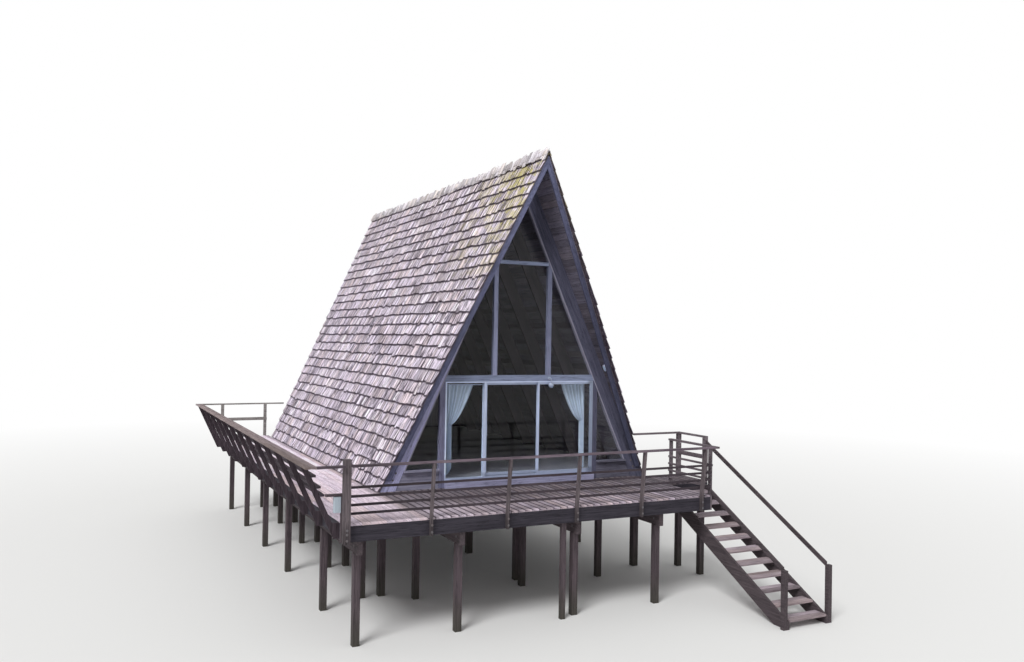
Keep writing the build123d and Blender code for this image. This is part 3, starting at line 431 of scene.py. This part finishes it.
# Front rail posts painted darker at their feet: painted shade.
post_look = {"broad": (40.0, 0.45), "faded": [(2, 1.95, 2.2, 0.5, 1.0)]}
rail_post_wood = wood("rail_post_stain", "z", (0.205, 0.170, 0.182), (0.047, 0.037, 0.044), **post_look)
rear_rail_wood = wood("rear_rail_stain", "level", (0.42, 0.40, 0.38), (0.16, 0.15, 0.145))
cap_wood = wood("rail_cap_wood", "map", (0.31, 0.255, 0.27), (0.14, 0.114, 0.12), True)
# Frame paint: white given the blue-grey of white in shade, painted darker on the right and at the sill and
# lighter at the left jamb: painted light and shade.
frame_painted_light = [(0, 1.6, 1.7, 1.0, 0.52), (0, -1.7, -1.6, 1.3, 1.0), (2, 2.34, 2.40, 0.6, 1.0)]
white_frame = metal_paint("white_frame_paint", (0.55, 0.63, 0.84), (0.32, 0.36, 0.48), faded=frame_painted_light)
grey_box = metal_paint("grey_box_paint", (0.43, 0.50, 0.57), (0.22, 0.24, 0.25), 0.5)
bolt_metal = metal_paint("bolt_zinc", (0.12, 0.115, 0.13), (0.16, 0.09, 0.06), 0.5)
pane_glass = window_glass("pane_glass", (0.97, 0.985, 0.995))
# Curtains painted darker towards the right: painted shade.
curtain_cloth = cloth("curtain_cotton", (0.69, 0.81, 0.99), [(0, -0.9, 0.9, 1.0, 0.82)])
floor_boards = planked("floor_paint", (0.28, 0.29, 0.33), (0.14, 0.14, 0.17), 0.14)
# The lamp glass on the right painted lighter: painted light.
lamp_opal = opal("lamp_opal", (0.34, 0.39, 0.52), [(0, 0.9, 1.2, 1.0, 1.8)])


def dress(material, *names):
    """Gives carried-over nodes their material."""
    for name in names:
        slots = nodes[name].material_slots
        if not slots:
            nodes[name].data.materials.append(material)
        for place in slots:
            place.material = material


dress(leg_wood, "front_rafters")
dress(barge_wood, "barge_boards")
dress(inner_wood, "inner_rafters")
dress(dark_along, "ridge_board", "house_girders", "deck_beams")
dress(dark_upright, "house_posts", "deck_posts", "outlet_post")
dress(lean_wood, "side_rail_posts")
dress(dark_across, "floor_joists", "deck_joists")
dress(fascia_wood, "deck_fascia")
dress(rail_dark, "right_rail", "landing_rail")
dress(rear_rail_wood, "rear_rail")
dress(dark_along, "stair_stringers", "stair_rail")
dress(slat_stain_and_shade_wood, "side_rail_slats")
dress(rail_level, "front_rail")
dress(rail_post_wood, "front_rail_posts")
dress(grey_upright, "gable_posts")
dress(grey_level, "base_walls")
dress(curb_wood, "front_curb")
dress(pale_level, "head_beam", "gable_transom")
dress(pale_upright, "gable_mullions")
dress(trim_wood, "glazing_trim")
dress(white_frame, "door_frame", "fixed_door", "sliding_door", "curtain_rod")
dress(grey_box, "outlet_box")
dress(pane_glass, "gable_glass", "fixed_glass", "sliding_glass")
dress(floor_boards, "cabin_floor")
dress(lamp_opal, "porch_lights")


wear_width = 0.016
middle_tone = 0.55


def solid_between(count):
    """Faces of a solid between two outlines of count points."""
    faces = [list(range(count - 1, -1, -1)), list(range(count, 2 * count))]
    return faces + [[i, (i + 1) % count, count + (i + 1) % count, count + i] for i in range(count)]


class Boards:
    """Separate boards in one mesh, each with its own grain map and tone."""

    def __init__(self, name, seed):
        self.name = name
        self.random = random.Random(seed)
        self.points, self.faces, self.grain, self.tones = [], [], [], []

    def put(self, points, grain, faces, tone=None, damp=None):
        """Adds one board from its points, their (across, along), its faces and how much each point is
        darkened: by moisture, and on the shakes also by painted shadow under the butts.
        """
        first = len(self.points)
        shift = (self.random.uniform(0, 40), self.random.uniform(0, 40))
        if tone is None:
            tone = self.tone()
        self.points += [tuple(point) for point in points]
        self.grain += [(across + shift[0], along + shift[1]) for across, along in grain]
        self.faces += [[first + i for i in face] for face in faces]
        self.tones += [(*tone, how_dark, 1.0) for how_dark in damp or [0.0] * len(points)]

    def tone(self, spread=0.16):
        """How pale and how warm a board is, each from 0 to 1."""
        return (min(1, max(0, self.random.gauss(middle_tone, spread))), self.random.random() ** 2)

    def board(self, ends, across, out, width, thickness, chamfer=0.003, tone=None, skew=(0, 0), edge_damp=0):
        """A board from ends[0] to ends[1], its lower corner edge there, width across and thickness out.
        skew moves the far edge of each end along the board. Its upper edges are as damp as edge_damp."""
        start, end = Vector(ends[0]), Vector(ends[1])
        along = (end - start).normalized()
        across, out = Vector(across), Vector(out)
        c = min(chamfer, thickness / 3)
        worn = c + wear_width
        profile = [(c, 0), (width - c, 0), (width, c), (width, thickness - c), (width - c, thickness)]
        profile += [(width - worn, thickness), (worn, thickness), (c, thickness), (0, thickness - c), (0, c)]
        how_dark = [edge_damp if i in (3, 4, 7, 8) else 0.0 for i in range(10)]
        points, grain = [], []
        for place, lean, reach in ((start, skew[0], 0.0), (end, skew[1], (end - start).length)):
            for side, high in profile:
                moved = place + across * side + out * high + along * (lean * side / width)
                points.append(moved)
                grain.append((side + high, reach))
        self.put(points, grain, solid_between(len(profile)), tone, how_dark * 2)

    def made(self, material, slot, replaces=()):
        """Turns the boards into one piece."""
        mesh = bpy.data.meshes.new(self.name)
        mesh.from_pydata(self.points, [], self.faces)
        mesh.update()
        corners = np.zeros(len(mesh.loops), np.int32)
        mesh.loops.foreach_get("vertex_index", corners)
        layer = mesh.uv_layers.new(name="grain")
        layer.data.foreach_set("uv", np.array(self.grain, np.float32)[corners].ravel())
        tones = mesh.attributes.new("tone", "FLOAT_COLOR", "POINT")
        tones.data.foreach_set("color", np.array(self.tones, np.float32).ravel())
        outward(mesh)
        made = bpy.data.objects.new(self.name, mesh)
        bpy.context.scene.collection.objects.link(made)
        made.data.materials.append(material)
        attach(made, "cabin")
        if replaces:
            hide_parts(*replaces)


def outward(mesh):
    """Turns every face of closed pieces outward."""
    work = bmesh.new()
    work.from_mesh(mesh)
    bmesh.ops.recalc_face_normals(work, faces=work.faces)
    work.to_mesh(mesh)
    work.free()


def front_edge(z):
    """Where the roof's raking front edge is at height z."""
    rise = (z - deck_z) / ridge_rise
    return wall_front - overhang_front * rise


def rear_edge(z):
    """Where its rear edge is."""
    return wall_rear + overhang_rear * (z - deck_z) / ridge_rise


def on_roof(side, distance, y, depth):
    """A point distance up one slope from the deck, depth under its outer face."""
    x = half_base - distance * lean_in - depth * lean_up
    z = deck_z + distance * lean_up - depth * lean_in
    return Vector((side * x, y, z))


# Roof: boards along the ridge, then courses of split shakes
sheathing_thickness = 0.019
sheathing_width = 0.142
sheathing_pitch = 0.148
shake_bed = roof_skin - sheathing_thickness
course = 0.268
head_lap = 0.05
eave_clear = 0.012
courses = 29
starter = 0.16
edge_bow = {-1: 0.0, 1: 0.12}  # how far each slope's shakes stand out before the straight edge
side_wear = 0.027
butt_wear = 0.010
# How far under the next butt its dark strip is full, and where it starts: partly moisture, partly painted
# shadow of the butt.
drip_and_shadow = 0.024
drip_and_shadow_fade = 0.052
proud = 0.009
shake_widths = (0.08, 0.10, 0.12, 0.15, 0.18, 0.21, 0.26)
least_last = 0.07
sways = 7
sway_reach = 0.012
uneven = 0.010
slipped_share = 0.07
wide_gap_share = 0.16
dark_share = 0.06
ridge_spacing = 0.06
face_ridge = 0.003
least_face = 0.12
taper_share = 0.84


def laid_course(chance, number, bow):
    """One course's shakes as (start, end, gap, butt), the butt being its distance up the slope."""
    low = eave_clear + max(number, 0) * course
    first, last = front_edge(deck_z + low * lean_up), rear_edge(deck_z + low * lean_up)
    rise = low / slope_length
    y = first - bow * math.sin(math.pi * min(1, rise)) - chance.uniform(0, 0.02)
    sway = [chance.uniform(-sway_reach, sway_reach) for _ in range(sways)]
    laid = []
    while y < last - 0.03:
        width = chance.choice(shake_widths) * chance.uniform(0.9, 1.12)
        end = y + width
        if end > last - least_last:
            end = last + chance.uniform(0.0, 0.015)
        share = max(0.0, (y - first) / (last - first)) * (sways - 1.01)
        step = sway[int(share)] + (sway[int(share) + 1] - sway[int(share)]) * (share % 1)
        step += chance.gauss(0, uneven)
        if chance.random() < slipped_share:
            step -= chance.uniform(0.015, 0.04)
        if number <= 0:
            step = max(-0.006, step)
        wide_gap = chance.random() < wide_gap_share
        gap = chance.uniform(0.012, 0.022) if wide_gap else chance.uniform(0.003, 0.010)
        laid.append((y, end, gap, low + step))
        y = end
    return laid


def butt_over(laid, y):
    """How far up the slope the butt that lies over y is."""
    for start, end, gap, butt in laid:
        if y < end:
            return butt
    return laid[-1][3]


def shake(boards, side, laid, over, high, tone, lift, thickness):
    """One split shake: a wedge, thick at its butt, its face ridged, darkened under the next butt: partly
    moist where it drips, partly painted shadow of that butt.
    """
    chance = boards.random
    start, end, gap, low = laid
    width = end - start - gap
    inner = max(1, round(width / ridge_spacing))
    across = [0.0, side_wear]
    across += [width * (i + 1) / (inner + 1) for i in range(inner)]
    across += [width - side_wear, width]
    last = len(across) - 1
    ridges = [chance.uniform(-face_ridge, face_ridge) for _ in across]
    ridges[0] = ridges[last] = 0.002
    skew = chance.uniform(-0.007, 0.007)
    gap_damp = chance.choice((0.2, 0.3, 0.6, 1.0, 1.0))
    run = high - low
    foot = [low + skew * (2 * place / width - 1) + chance.uniform(-0.002, 0.002) for place in across]
    rows = []
    for place, butt in zip(across, foot):
        cover = butt_over(over, start + place) if over else high
        cover = min(max(cover, low + least_face), high - 0.01)
        side_damp = gap_damp if place in (0.0, width) else 0.0
        # Darkened: the butt face, and the strip under the next butt up to the covered head: partly moisture,
        # partly painted shadow of that butt.
        rows.append(
            [
                (butt, 0.6),
                (butt + butt_wear, side_damp),
                (cover - drip_and_shadow_fade, side_damp),
                (cover - drip_and_shadow, 1.0),
                (high, 1.0),
            ]
        )
    points, grain, damp = [], [], []
    for level in range(5):
        for i, place in enumerate(across):
            distance, how_dark = rows[i][level]
            share = min(1.0, (distance - low) / (run * taper_share))
            depth = lift + (shake_bed - 0.004 - lift) * share + ridges[i] * (1 - 0.6 * share)
            y = start + place
            if start < front_edge(deck_z + low * lean_up):
                raked = front_edge(deck_z + distance * lean_up) - front_edge(deck_z + low * lean_up)
                y += raked * (1 - place / width)
            points.append(on_roof(side, distance, y, depth))
            grain.append((place, distance - low))
            damp.append(how_dark)
    top = len(points)
    for level, share in ((0, 0.0), (4, 1.0)):
        for i in (0, last):
            source = points[level * (last + 1) + i]
            distance = foot[i] if level == 0 else high
            under = lift + thickness + (shake_bed - lift - thickness) * share
            points.append(on_roof(side, distance, source.y, under))
            grain.append((across[i] + 0.02, distance - low))
            damp.append(1.0)
    count = last + 1
    faces = []
    for j in range(4):
        for i in range(last):
            a = j * count + i
            faces.append([a, a + 1, a + 1 + count, a + count])
    faces.append([*range(last, -1, -1), top, top + 1])
    faces.append([*range(4 * count, 5 * count), top + 3, top + 2])
    faces.append([*range(0, 5 * count, count), top + 2, top])
    faces.append([top + 1, top + 3, *range(5 * count - 1, last - 1, -count)])
    faces.append([top, top + 2, top + 3, top + 1])
    boards.put(points, grain, faces, tone, damp)


def roof(side, name, node, seed):
    """One slope: sheathing boards and all its courses."""
    under = Boards(name + "_sheathing", seed)
    distance = 0.02
    last = (half_base - roof_skin * lean_up) / lean_in - 0.01
    out = Vector((side * lean_up, 0, lean_in))
    uphill = Vector((-side * lean_in, 0, lean_up))
    while distance < last:
        width = min(sheathing_width, last - distance)
        start = on_roof(side, distance, 0, roof_skin)
        z_low, z_high = start.z, start.z + width * lean_up
        y0, y1 = front_edge(z_low), rear_edge(z_low)
        skews = (front_edge(z_high) - y0, rear_edge(z_high) - y1)
        ends = ((start.x, y0 + 0.004, start.z), (start.x, y1 - 0.004, start.z))
        under.board(ends, uphill, out, width, sheathing_thickness, 0.002, skew=skews)
        distance += sheathing_pitch
    under.made(soffit_wood, "shakes")

    shakes = Boards(name + "_shakes", seed + 1)
    chance = shakes.random
    all_laid = [laid_course(chance, number, edge_bow[side]) for number in range(-1, courses)]
    for number, row in enumerate(all_laid, -1):
        low = eave_clear + max(number, 0) * course
        high = min(low + course + head_lap, slope_length - 0.002)
        over = all_laid[number + 2] if number + 2 < len(all_laid) else None
        if number < 0:
            high = low + starter
            over = None
        for laid in row:
            tone = shakes.tone(0.15)
            if chance.random() < dark_share:
                tone = (chance.uniform(0.0, 0.2), tone[1])
            lift = chance.uniform(-proud, 0.006) if number >= 0 else 0.014
            thickness = shake_bed - 0.002 - lift if number >= 0 else 0.012
            shake(shakes, side, laid, over, high, tone, lift, thickness)
    shakes.made(shake_wood, "shakes", replaces=(node,))


roof(-1, "left_roof", "roof_left", 11)
roof(1, "right_roof", "roof_right", 23)

# Ridge: pale shakes nailed along both sides, the left ones' ends standing up past the peak
ridge = Boards("ridge_shakes", 31)
ridge_reach = 0.19
ridge_layers = (-0.004, -0.014)
ridge_thickness = 0.009
ridge_inset = 0.004
tallest_tip = ridge_z + 0.110
right_tip = ridge_z + 0.040
ragged_front = -3.5
tall_shares = (0.45, 0.2)
for side in (-1, 1):
    for layer, depth in enumerate(ridge_layers):
        y = front_edge(ridge_z) + ridge_inset + 0.05 * layer
        end_y = rear_edge(ridge_z) - ridge_inset
        while y < end_y - 0.04:
            end = min(y + ridge.random.uniform(0.07, 0.2), end_y)
            past = ridge.random.uniform(-0.01, 0.0)
            if side < 0:
                past = ridge.random.uniform(-0.005, 0.07)
                if ridge.random.random() < tall_shares[y >= ragged_front]:
                    past += ridge.random.uniform(0.03, 0.06)
            low = slope_length - ridge_reach + ridge.random.uniform(-0.04, 0.07) + 0.03 * layer
            tip = ridge.random.uniform(-0.02, 0.02) if side < 0 else 0.0
            highest = tallest_tip if side < 0 else right_tip
            upper = depth - ridge_thickness
            points, grain, damp = [], [], []
            for share, out in ((0, depth), (1, depth), (0, upper), (1, upper)):
                for edge, place in ((y + 0.002, -1), (end - 0.002, 1)):
                    distance = low if share == 0 else slope_length + past + tip * place
                    point = on_roof(side, distance, edge, out)
                    point.z = min(point.z, highest)
                    points.append(point)
                    grain.append((edge - y + out, distance - low))
                    damp.append(0.25 * (1 - share))
            faces = [[0, 1, 3, 2], [4, 6, 7, 5], [0, 2, 6, 4], [1, 5, 7, 3], [0, 4, 5, 1], [2, 3, 7, 6]]
            ridge.put(points, grain, faces, ridge.tone(0.26), damp)
            y = end
ridge.made(ridge_wood, "shakes", replaces=("ridge_cap",))

# Deck: boards along y, with gaps between them
planks = Boards("deck_planks", 41)
nails = Boards("deck_nails", 43)
board_count = 52
board_pitch = (deck_right - deck_left) / board_count
board_gap = 0.009
side_gap = 0.006
side_edge = -half_base
end_gap = 0.0015
joist_width = 0.038
joist_pitch = 0.5
joist_lines = [deck_front + joist_width + joist_pitch * i + joist_width / 2 for i in range(1, 6)]
board_lengths = (3.66, 4.27, 4.88)
least_length = 1.2
jointed_share = 0.3
nail_radius = 0.0045
nail_inset = 0.022


def nail(x, y, z):
    """A nail head on a board's face."""
    turns = [i * math.pi / 3 for i in range(6)]
    ring = [(x + nail_radius * math.cos(turn), y + nail_radius * math.sin(turn)) for turn in turns]
    points = [(px, py, z - 0.001) for px, py in ring] + [(px, py, z + 0.0006) for px, py in ring]
    nails.put(points, [(0, 0)] * 12, solid_between(6))


def plank_run(x, width, breaks):
    """One line of boards at x, in lengths that meet at breaks."""
    beside = x < side_edge
    for low, high in zip(breaks, breaks[1:]):
        drop = planks.random.uniform(0.0, 0.0025)
        under = deck_z - deck_board - drop
        ends = ((x, low + end_gap, under), (x, high - end_gap, under))
        skew = (planks.random.uniform(0, 0.003), planks.random.uniform(-0.003, 0))
        value, warm = planks.tone(0.07 if beside else 0.16)
        tone = (min(1, value + 0.15) if beside else value, warm)
        how_dark = 0.2 if beside else 1.0
        planks.board(ends, (1, 0, 0), (0, 0, 1), width, deck_board, 0.004, tone, skew, how_dark)


for i in range(board_count):
    x = deck_left + i * board_pitch + board_gap / 2
    gap = board_gap if x > side_edge else side_gap
    width = board_pitch - gap
    start = deck_front + planks.random.uniform(0.0, 0.008)
    if x < side_edge - 0.03:
        breaks = [start]
        place = start + planks.random.uniform(1.6, 4.2)
        while place < deck_back - least_length:
            breaks.append(place)
            place += planks.random.choice(board_lengths)
        breaks.append(deck_back)
        if x + width > side_edge:
            plank_run(x, side_edge - x, [wall_front, *[y for y in breaks if y > wall_front + 0.5]])
            breaks = [start, wall_front]
    else:
        breaks = [start, wall_front]
        if planks.random.random() < jointed_share:
            breaks.insert(1, planks.random.choice(joist_lines[1:4]))
    plank_run(x, width, breaks)
    for line in joist_lines:
        for side in (nail_inset, width - nail_inset):
            stray = nails.random.uniform(-0.006, 0.006)
            nail(x + side + nails.random.uniform(-0.004, 0.004), line + stray, deck_z)

landing_width = 1.13
landing_front = -6.44
landing_back = -5.39
landing_boards = 8
landing_pitch = landing_width / landing_boards
for i in range(landing_boards):
    x = deck_right + i * landing_pitch + board_gap / 2
    plank_run(x, landing_pitch - board_gap, [landing_front, landing_back])
planks.made(deck_wood, "deck_boards", replaces=("front_deck", "side_deck"))
nails.made(bolt_metal, "grey_metal")

# Stair: each tread is two boards on its own stringers
treads = Boards("tread_boards", 47)
tread_count = 11
tread_going = 0.33
tread_rise = 0.175
tread_left = 3.05
tread_right = 3.95
tread_thickness = 0.044
tread_width = 0.1395
tread_pitch = 0.1455
for i in range(1, tread_count + 1):
    low_y = landing_front - i * tread_going
    under = deck_z - i * tread_rise - tread_thickness
    for k in range(2):
        y = low_y + k * tread_pitch
        ends = ((tread_left, y, under), (tread_right, y, under))
        tone = treads.tone(0.14)
        treads.board(ends, (0, 1, 0), (0, 0, 1), tread_width, tread_thickness, 0.005, tone)
treads.made(tread_wood, "deck_boards", replaces=("stair_treads",))

# Left rail's cap: two boards side by side
cap = Boards("left_cap_boards", 53)
cap_low, cap_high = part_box("side_rail_cap")
cap_gap = 0.006
cap_width = (cap_high.x - cap_low.x - cap_gap) / 2
cap_length = 4.88
for k, first_length in enumerate((3.4, 4.9)):
    x = cap_low.x + k * (cap_width + cap_gap)
    joints = [cap_low.y, cap_low.y + first_length]
    while joints[-1] + cap_length < cap_high.y:
        joints.append(joints[-1] + cap_length)
    joints.append(cap_high.y)
    for low, high in zip(joints, joints[1:]):
        ends = ((x, low + 0.001, cap_low.z), (x, high - 0.001, cap_low.z))
        cap.board(ends, (1, 0, 0), (0, 0, 1), cap_width, cap_high.z - cap_low.z, 0.005)
cap.made(cap_wood, "dark_wood", replaces=("side_rail_cap",))

# Rear wall: upright boards outside and in, with battens over the joints
rear = Boards("rear_wall_boards", 59)
rear_low, rear_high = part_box("rear_wall")
board_width = 0.19
outer_thickness = 0.022
inner_thickness = 0.018
batten_width = 0.04
batten_thickness = 0.014
ridge_flat = 0.019


def roof_height(x, depth):
    """Height of the plane depth under the roof, x from the centre."""
    return ridge_z - (abs(x) + depth / lean_up) * ridge_rise / half_base


def upright(x, width, y, thickness, bottom):
    """A board whose top is cut to the roof's line."""
    tops = [roof_height(x, rafter_inside), roof_height(x + width, rafter_inside)]
    if min(tops) < bottom + 0.02:
        return
    outline = [(x, bottom), (x + width, bottom), (x + width, tops[1]), (x, tops[0])]
    if x < 0 < x + width:
        outline.insert(3, (0.0, roof_height(ridge_flat, rafter_inside)))
    points = [(px, y, pz) for px, pz in outline] + [(px, y + thickness, pz) for px, pz in outline]
    grain = [(px, pz) for px, pz in outline] + [(px + 0.03, pz) for px, pz in outline]
    rear.put(points, grain, solid_between(len(outline)))


x = rear_low.x
while x < rear_high.x - 0.03:
    width = min(board_width, rear_high.x - x)
    upright(x + 0.002, width - 0.004, wall_rear - outer_thickness, outer_thickness, rear_low.z)
    upright(x + 0.001, width - 0.002, rear_low.y, inner_thickness, rear_low.z)
    upright(x - batten_width / 2, batten_width, wall_rear, batten_thickness, rear_low.z)
    x += board_width
rear.made(wall_wood, "grey_painted_wood", replaces=("rear_wall",))

# Bolts through the rail posts, and through the beams at the posts
bolts = Boards("bolts", 61)
head_radius = 0.013
washer_radius = 0.022
washer_thickness = 0.003
head_top = 0.008
ring_points = 10


def bolt(centre, axis):
    """A domed head on its washer, its axis pointing out."""
    axis = Vector(axis).normalized()
    side = axis.orthogonal().normalized()
    other = axis.cross(side)
    washer = ((washer_radius, 0.0), (washer_radius, washer_thickness))
    head = ((head_radius, washer_thickness), (head_radius * 0.6, head_top))
    for rings in (washer, head):
        points = []
        for reach, height in rings:
            for i in range(ring_points):
                angle = i * 2 * math.pi / ring_points
                turned = side * math.cos(angle) + other * math.sin(angle)
                points.append(Vector(centre) + turned * reach + axis * height)
        bolts.put(points, [(0, 0)] * len(points), solid_between(ring_points))


rail_posts = (-3.12, -1.66, -0.22, 1.235, 2.69)
rail_post_depth = 0.089
corner_post_depth = 0.12
beam_posts = (-4.35, -2.49, -0.11, 1.77)
beam_post_half = 0.045
beam_bolt_z = 1.68
leg_middle = 0.19
for x in rail_posts:
    for z in (1.865, 1.985):
        bolt((x, deck_front - rail_post_depth, z), (0, -1, 0))
for z in (1.85, 1.95, 2.02):
    bolt((deck_left, deck_front - corner_post_depth, z), (0, -1, 0))
for x in beam_posts:
    for y in (deck_front + 0.23, wall_front - 0.33):
        for side in (-1, 1):
            bolt((x + side * beam_post_half, y, beam_bolt_z), (side, 0, 0))
for side in (-1, 1):
    for z in (2.32, 2.46):
        inside = half_base - (z - deck_z) * half_base / ridge_rise - leg_middle / lean_up
        bolt((side * inside, wall_front, z), (0, -1, 0))
bolts.made(bolt_metal, "grey_metal")

# Curtains: gathered cotton, pinned at the rod and the tie, then let hang
flat_width = 0.88
flat_length = 1.86
pleats = 6.5
top_width = 0.60
tie_width = 0.125
foot_width = 0.115
tie_z = deck_z + 0.16 + 1.13
cloth_across = 154
cloth_down = 60
path_steps = 200
cloth_feel = {
    "quality": 6,
    "mass": 0.15,
    "tension_stiffness": 25,
    "compression_stiffness": 25,
    "shear_stiffness": 8,
    "bending_stiffness": 0.4,
    "vertex_group_mass": "held",
}
frames = 25
most_settling = 0.03
tie_half = 0.035


def fullness(width, flat, count):
    """Half depth of a sine pleat that takes up the flat width."""
    low, high = 0.0, 0.5
    span = width / count
    for _ in range(40):
        depth = (low + high) / 2
        steps = 40
        length = 0.0
        for i in range(steps):
            a, b = i / steps, (i + 1) / steps
            rise = depth * (math.sin(2 * math.pi * b) - math.sin(2 * math.pi * a))
            length += math.hypot(span / steps, rise)
        if length * count < flat:
            low = depth
        else:
            high = depth
    return (low + high) / 2


def width_at(z, top_z, foot_z):
    """How wide the gathered cloth is at height z."""
    if z >= tie_z:
        share = (z - tie_z) / (top_z - tie_z)
        return tie_width + (top_width - tie_width) * share ** 0.62
    share = (tie_z - z) / (tie_z - foot_z)
    return tie_width + (foot_width - tie_width) * share


def gathered(side, low, high, seed):
    """The cloth's points, row by row from the rod, with its pleats drawn in."""
    edge = high.x if side > 0 else low.x
    top_z, foot_z = high.z, low.z
    middle_y = (low.y + high.y) / 2
    chance = random.Random(seed)
    phases = [chance.uniform(-0.5, 0.5) for _ in range(2)]
    path = [top_z - (top_z - foot_z) * i / path_steps for i in range(path_steps + 1)]
    widths = [width_at(z, top_z, foot_z) for z in path]
    depth_limit = (high.y - low.y) / 2 - 0.003
    points, depths = [], {}
    for j in range(cloth_down + 1):
        for i in range(cloth_across + 1):
            share = i / cloth_across
            walked, wanted, z = 0.0, (top_z - foot_z) * j / cloth_down, foot_z
            for k in range(path_steps):
                run = share * (widths[k] - widths[k + 1])
                step = math.hypot(run, path[k] - path[k + 1])
                if walked + step >= wanted:
                    z = path[k] - (wanted - walked) * (path[k] - path[k + 1]) / step
                    break
                walked += step
            width = width_at(z, top_z, foot_z)
            key = round(width, 3)
            if key not in depths:
                depths[key] = min(depth_limit, fullness(width, flat_width, pleats))
            wave = share * pleats + 0.12 * math.sin(3 * share * 2 * math.pi + phases[0])
            bend = math.sin(2 * math.pi * wave)
            y = middle_y + depths[key] * bend * (0.86 + 0.14 * math.sin(5 * share + phases[1] * 6))
            points.append((edge - side * width * share, y, z))
    return points


def curtain(side, name, node, seed):
    """One curtain, hung in the box of the node it stands for."""
    low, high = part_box(node)
    points = gathered(side, low, high, seed)
    middle_y = (low.y + high.y) / 2
    across, row = cloth_across, cloth_across + 1
    firsts = [j * row + i for j in range(cloth_down) for i in range(across)]
    mesh = bpy.data.meshes.new(name)
    mesh.from_pydata(points, [], [(a, a + 1, a + row + 1, a + row) for a in firsts])
    made = bpy.data.objects.new(name, mesh)
    bpy.context.scene.collection.objects.link(made)
    layer = mesh.uv_layers.new(name="grain")
    corners = np.zeros(len(mesh.loops), np.int32)
    mesh.loops.foreach_get("vertex_index", corners)
    wide, long = flat_width / across, flat_length / cloth_down
    flat = [(i * wide, j * long) for j in range(cloth_down + 1) for i in range(row)]
    layer.data.foreach_set("uv", np.array(flat, np.float32)[corners].ravel())
    # How deep towards the back each point lies, for the painted shade in the folds.
    folds = mesh.attributes.new("fold", "FLOAT", "POINT")
    folds.data.foreach_set("value", [0.5 + (y - middle_y) / (high.y - low.y) for x, y, z in points])
    hang(made, points)
    for polygon in made.data.polygons:
        polygon.use_smooth = True
    made.data.materials.append(curtain_cloth)
    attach(made, "cabin")
    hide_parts(node)
    area = sum(polygon.area for polygon in made.data.polygons)
    print("curtain area", name, round(area, 3), "flat", round(flat_width * flat_length, 3))


def hang(made, points):
    """Lets the gathered cloth settle under its weight, held along the rod and at the tie."""
    group = made.vertex_groups.new(name="held")
    rest = [Vector(point) for point in points]
    for index, point in enumerate(rest):
        if index <= cloth_across:
            group.add([index], 1.0, "REPLACE")
        elif abs(point.z - tie_z) < tie_half:
            group.add([index], 0.9, "REPLACE")
    settling = made.modifiers.new("Cloth", "CLOTH")
    for key, value in cloth_feel.items():
        setattr(settling.settings, key, value)
    settling.point_cache.frame_end = 30
    for number in range(1, frames + 1):
        bpy.context.scene.frame_set(number)
    settled = made.evaluated_get(bpy.context.evaluated_depsgraph_get())
    shape = [vertex.co.copy() for vertex in settled.data.vertices]
    made.modifiers.remove(settling)
    bpy.context.scene.frame_set(1)
    for vertex, new, old in zip(made.data.vertices, shape, rest):
        moved = new - old
        if moved.length > most_settling:
            moved = moved.normalized() * most_settling
        vertex.co = old + moved
    made.data.update()


curtain(-1, "left_curtain", "curtain_left", 71)
curtain(1, "right_curtain", "curtain_right", 73)

# Floor, light and background
floor_reach = 400.0
fade_from = 11.0
fade_to = 34.0
sky_light = 0.56
lamp_power = 2.05
lamp_width = 22
lamp_way = (0.55, 0.42, -0.75)

floor_mesh = bpy.data.meshes.new("studio_floor")
floor_corners = [(x * floor_reach, y * floor_reach, 0) for x, y in ((-1, -1), (1, -1), (1, 1), (-1, 1))]
floor_mesh.from_pydata(floor_corners, [], [(0, 1, 2, 3)])
floor = bpy.data.objects.new("studio_floor", floor_mesh)
bpy.context.scene.collection.objects.link(floor)
ground = Shader("studio_floor")
away = ground.node("ShaderNodeVectorMath", {0: ground.place()}, operation="LENGTH").outputs["Value"]
fade = ground.math("MULTIPLY", ground.spread(away, fade_from, fade_to), ground.looked())
plain = ground.surface(shade(0.80, 0.80, 0.79), 0.9, Specular_IOR_Level=0.1)
white = ground.node("ShaderNodeEmission", {0: shade(1, 1, 1), 1: 1.0}).outputs[0]
fading = ground.node("ShaderNodeMixShader", {0: fade, 1: plain, 2: white}).outputs[0]
floor.data.materials.append(ground.done(fading))

world = bpy.data.worlds.new("studio")
world.use_nodes = True
bpy.context.scene.world = world
sky = Nodes(world.node_tree)
background = sky.tree.nodes["Background"]
sky.feed(background.inputs[0], shade(1, 1, 1))
sky.feed(background.inputs[1], sky.spread(sky.looked(), 0.0, 1.0, sky_light, 1.0))

lamp_data = bpy.data.lights.new("soft_key", "SUN")
lamp_data.energy = lamp_power
lamp_data.angle = math.radians(lamp_width)
lamp = bpy.data.objects.new("soft_key", lamp_data)
lamp.rotation_euler = Vector(lamp_way).to_track_quat("-Z", "Y").to_euler()
bpy.context.scene.collection.objects.link(lamp)

bpy.context.scene.view_settings.view_transform = "Standard"
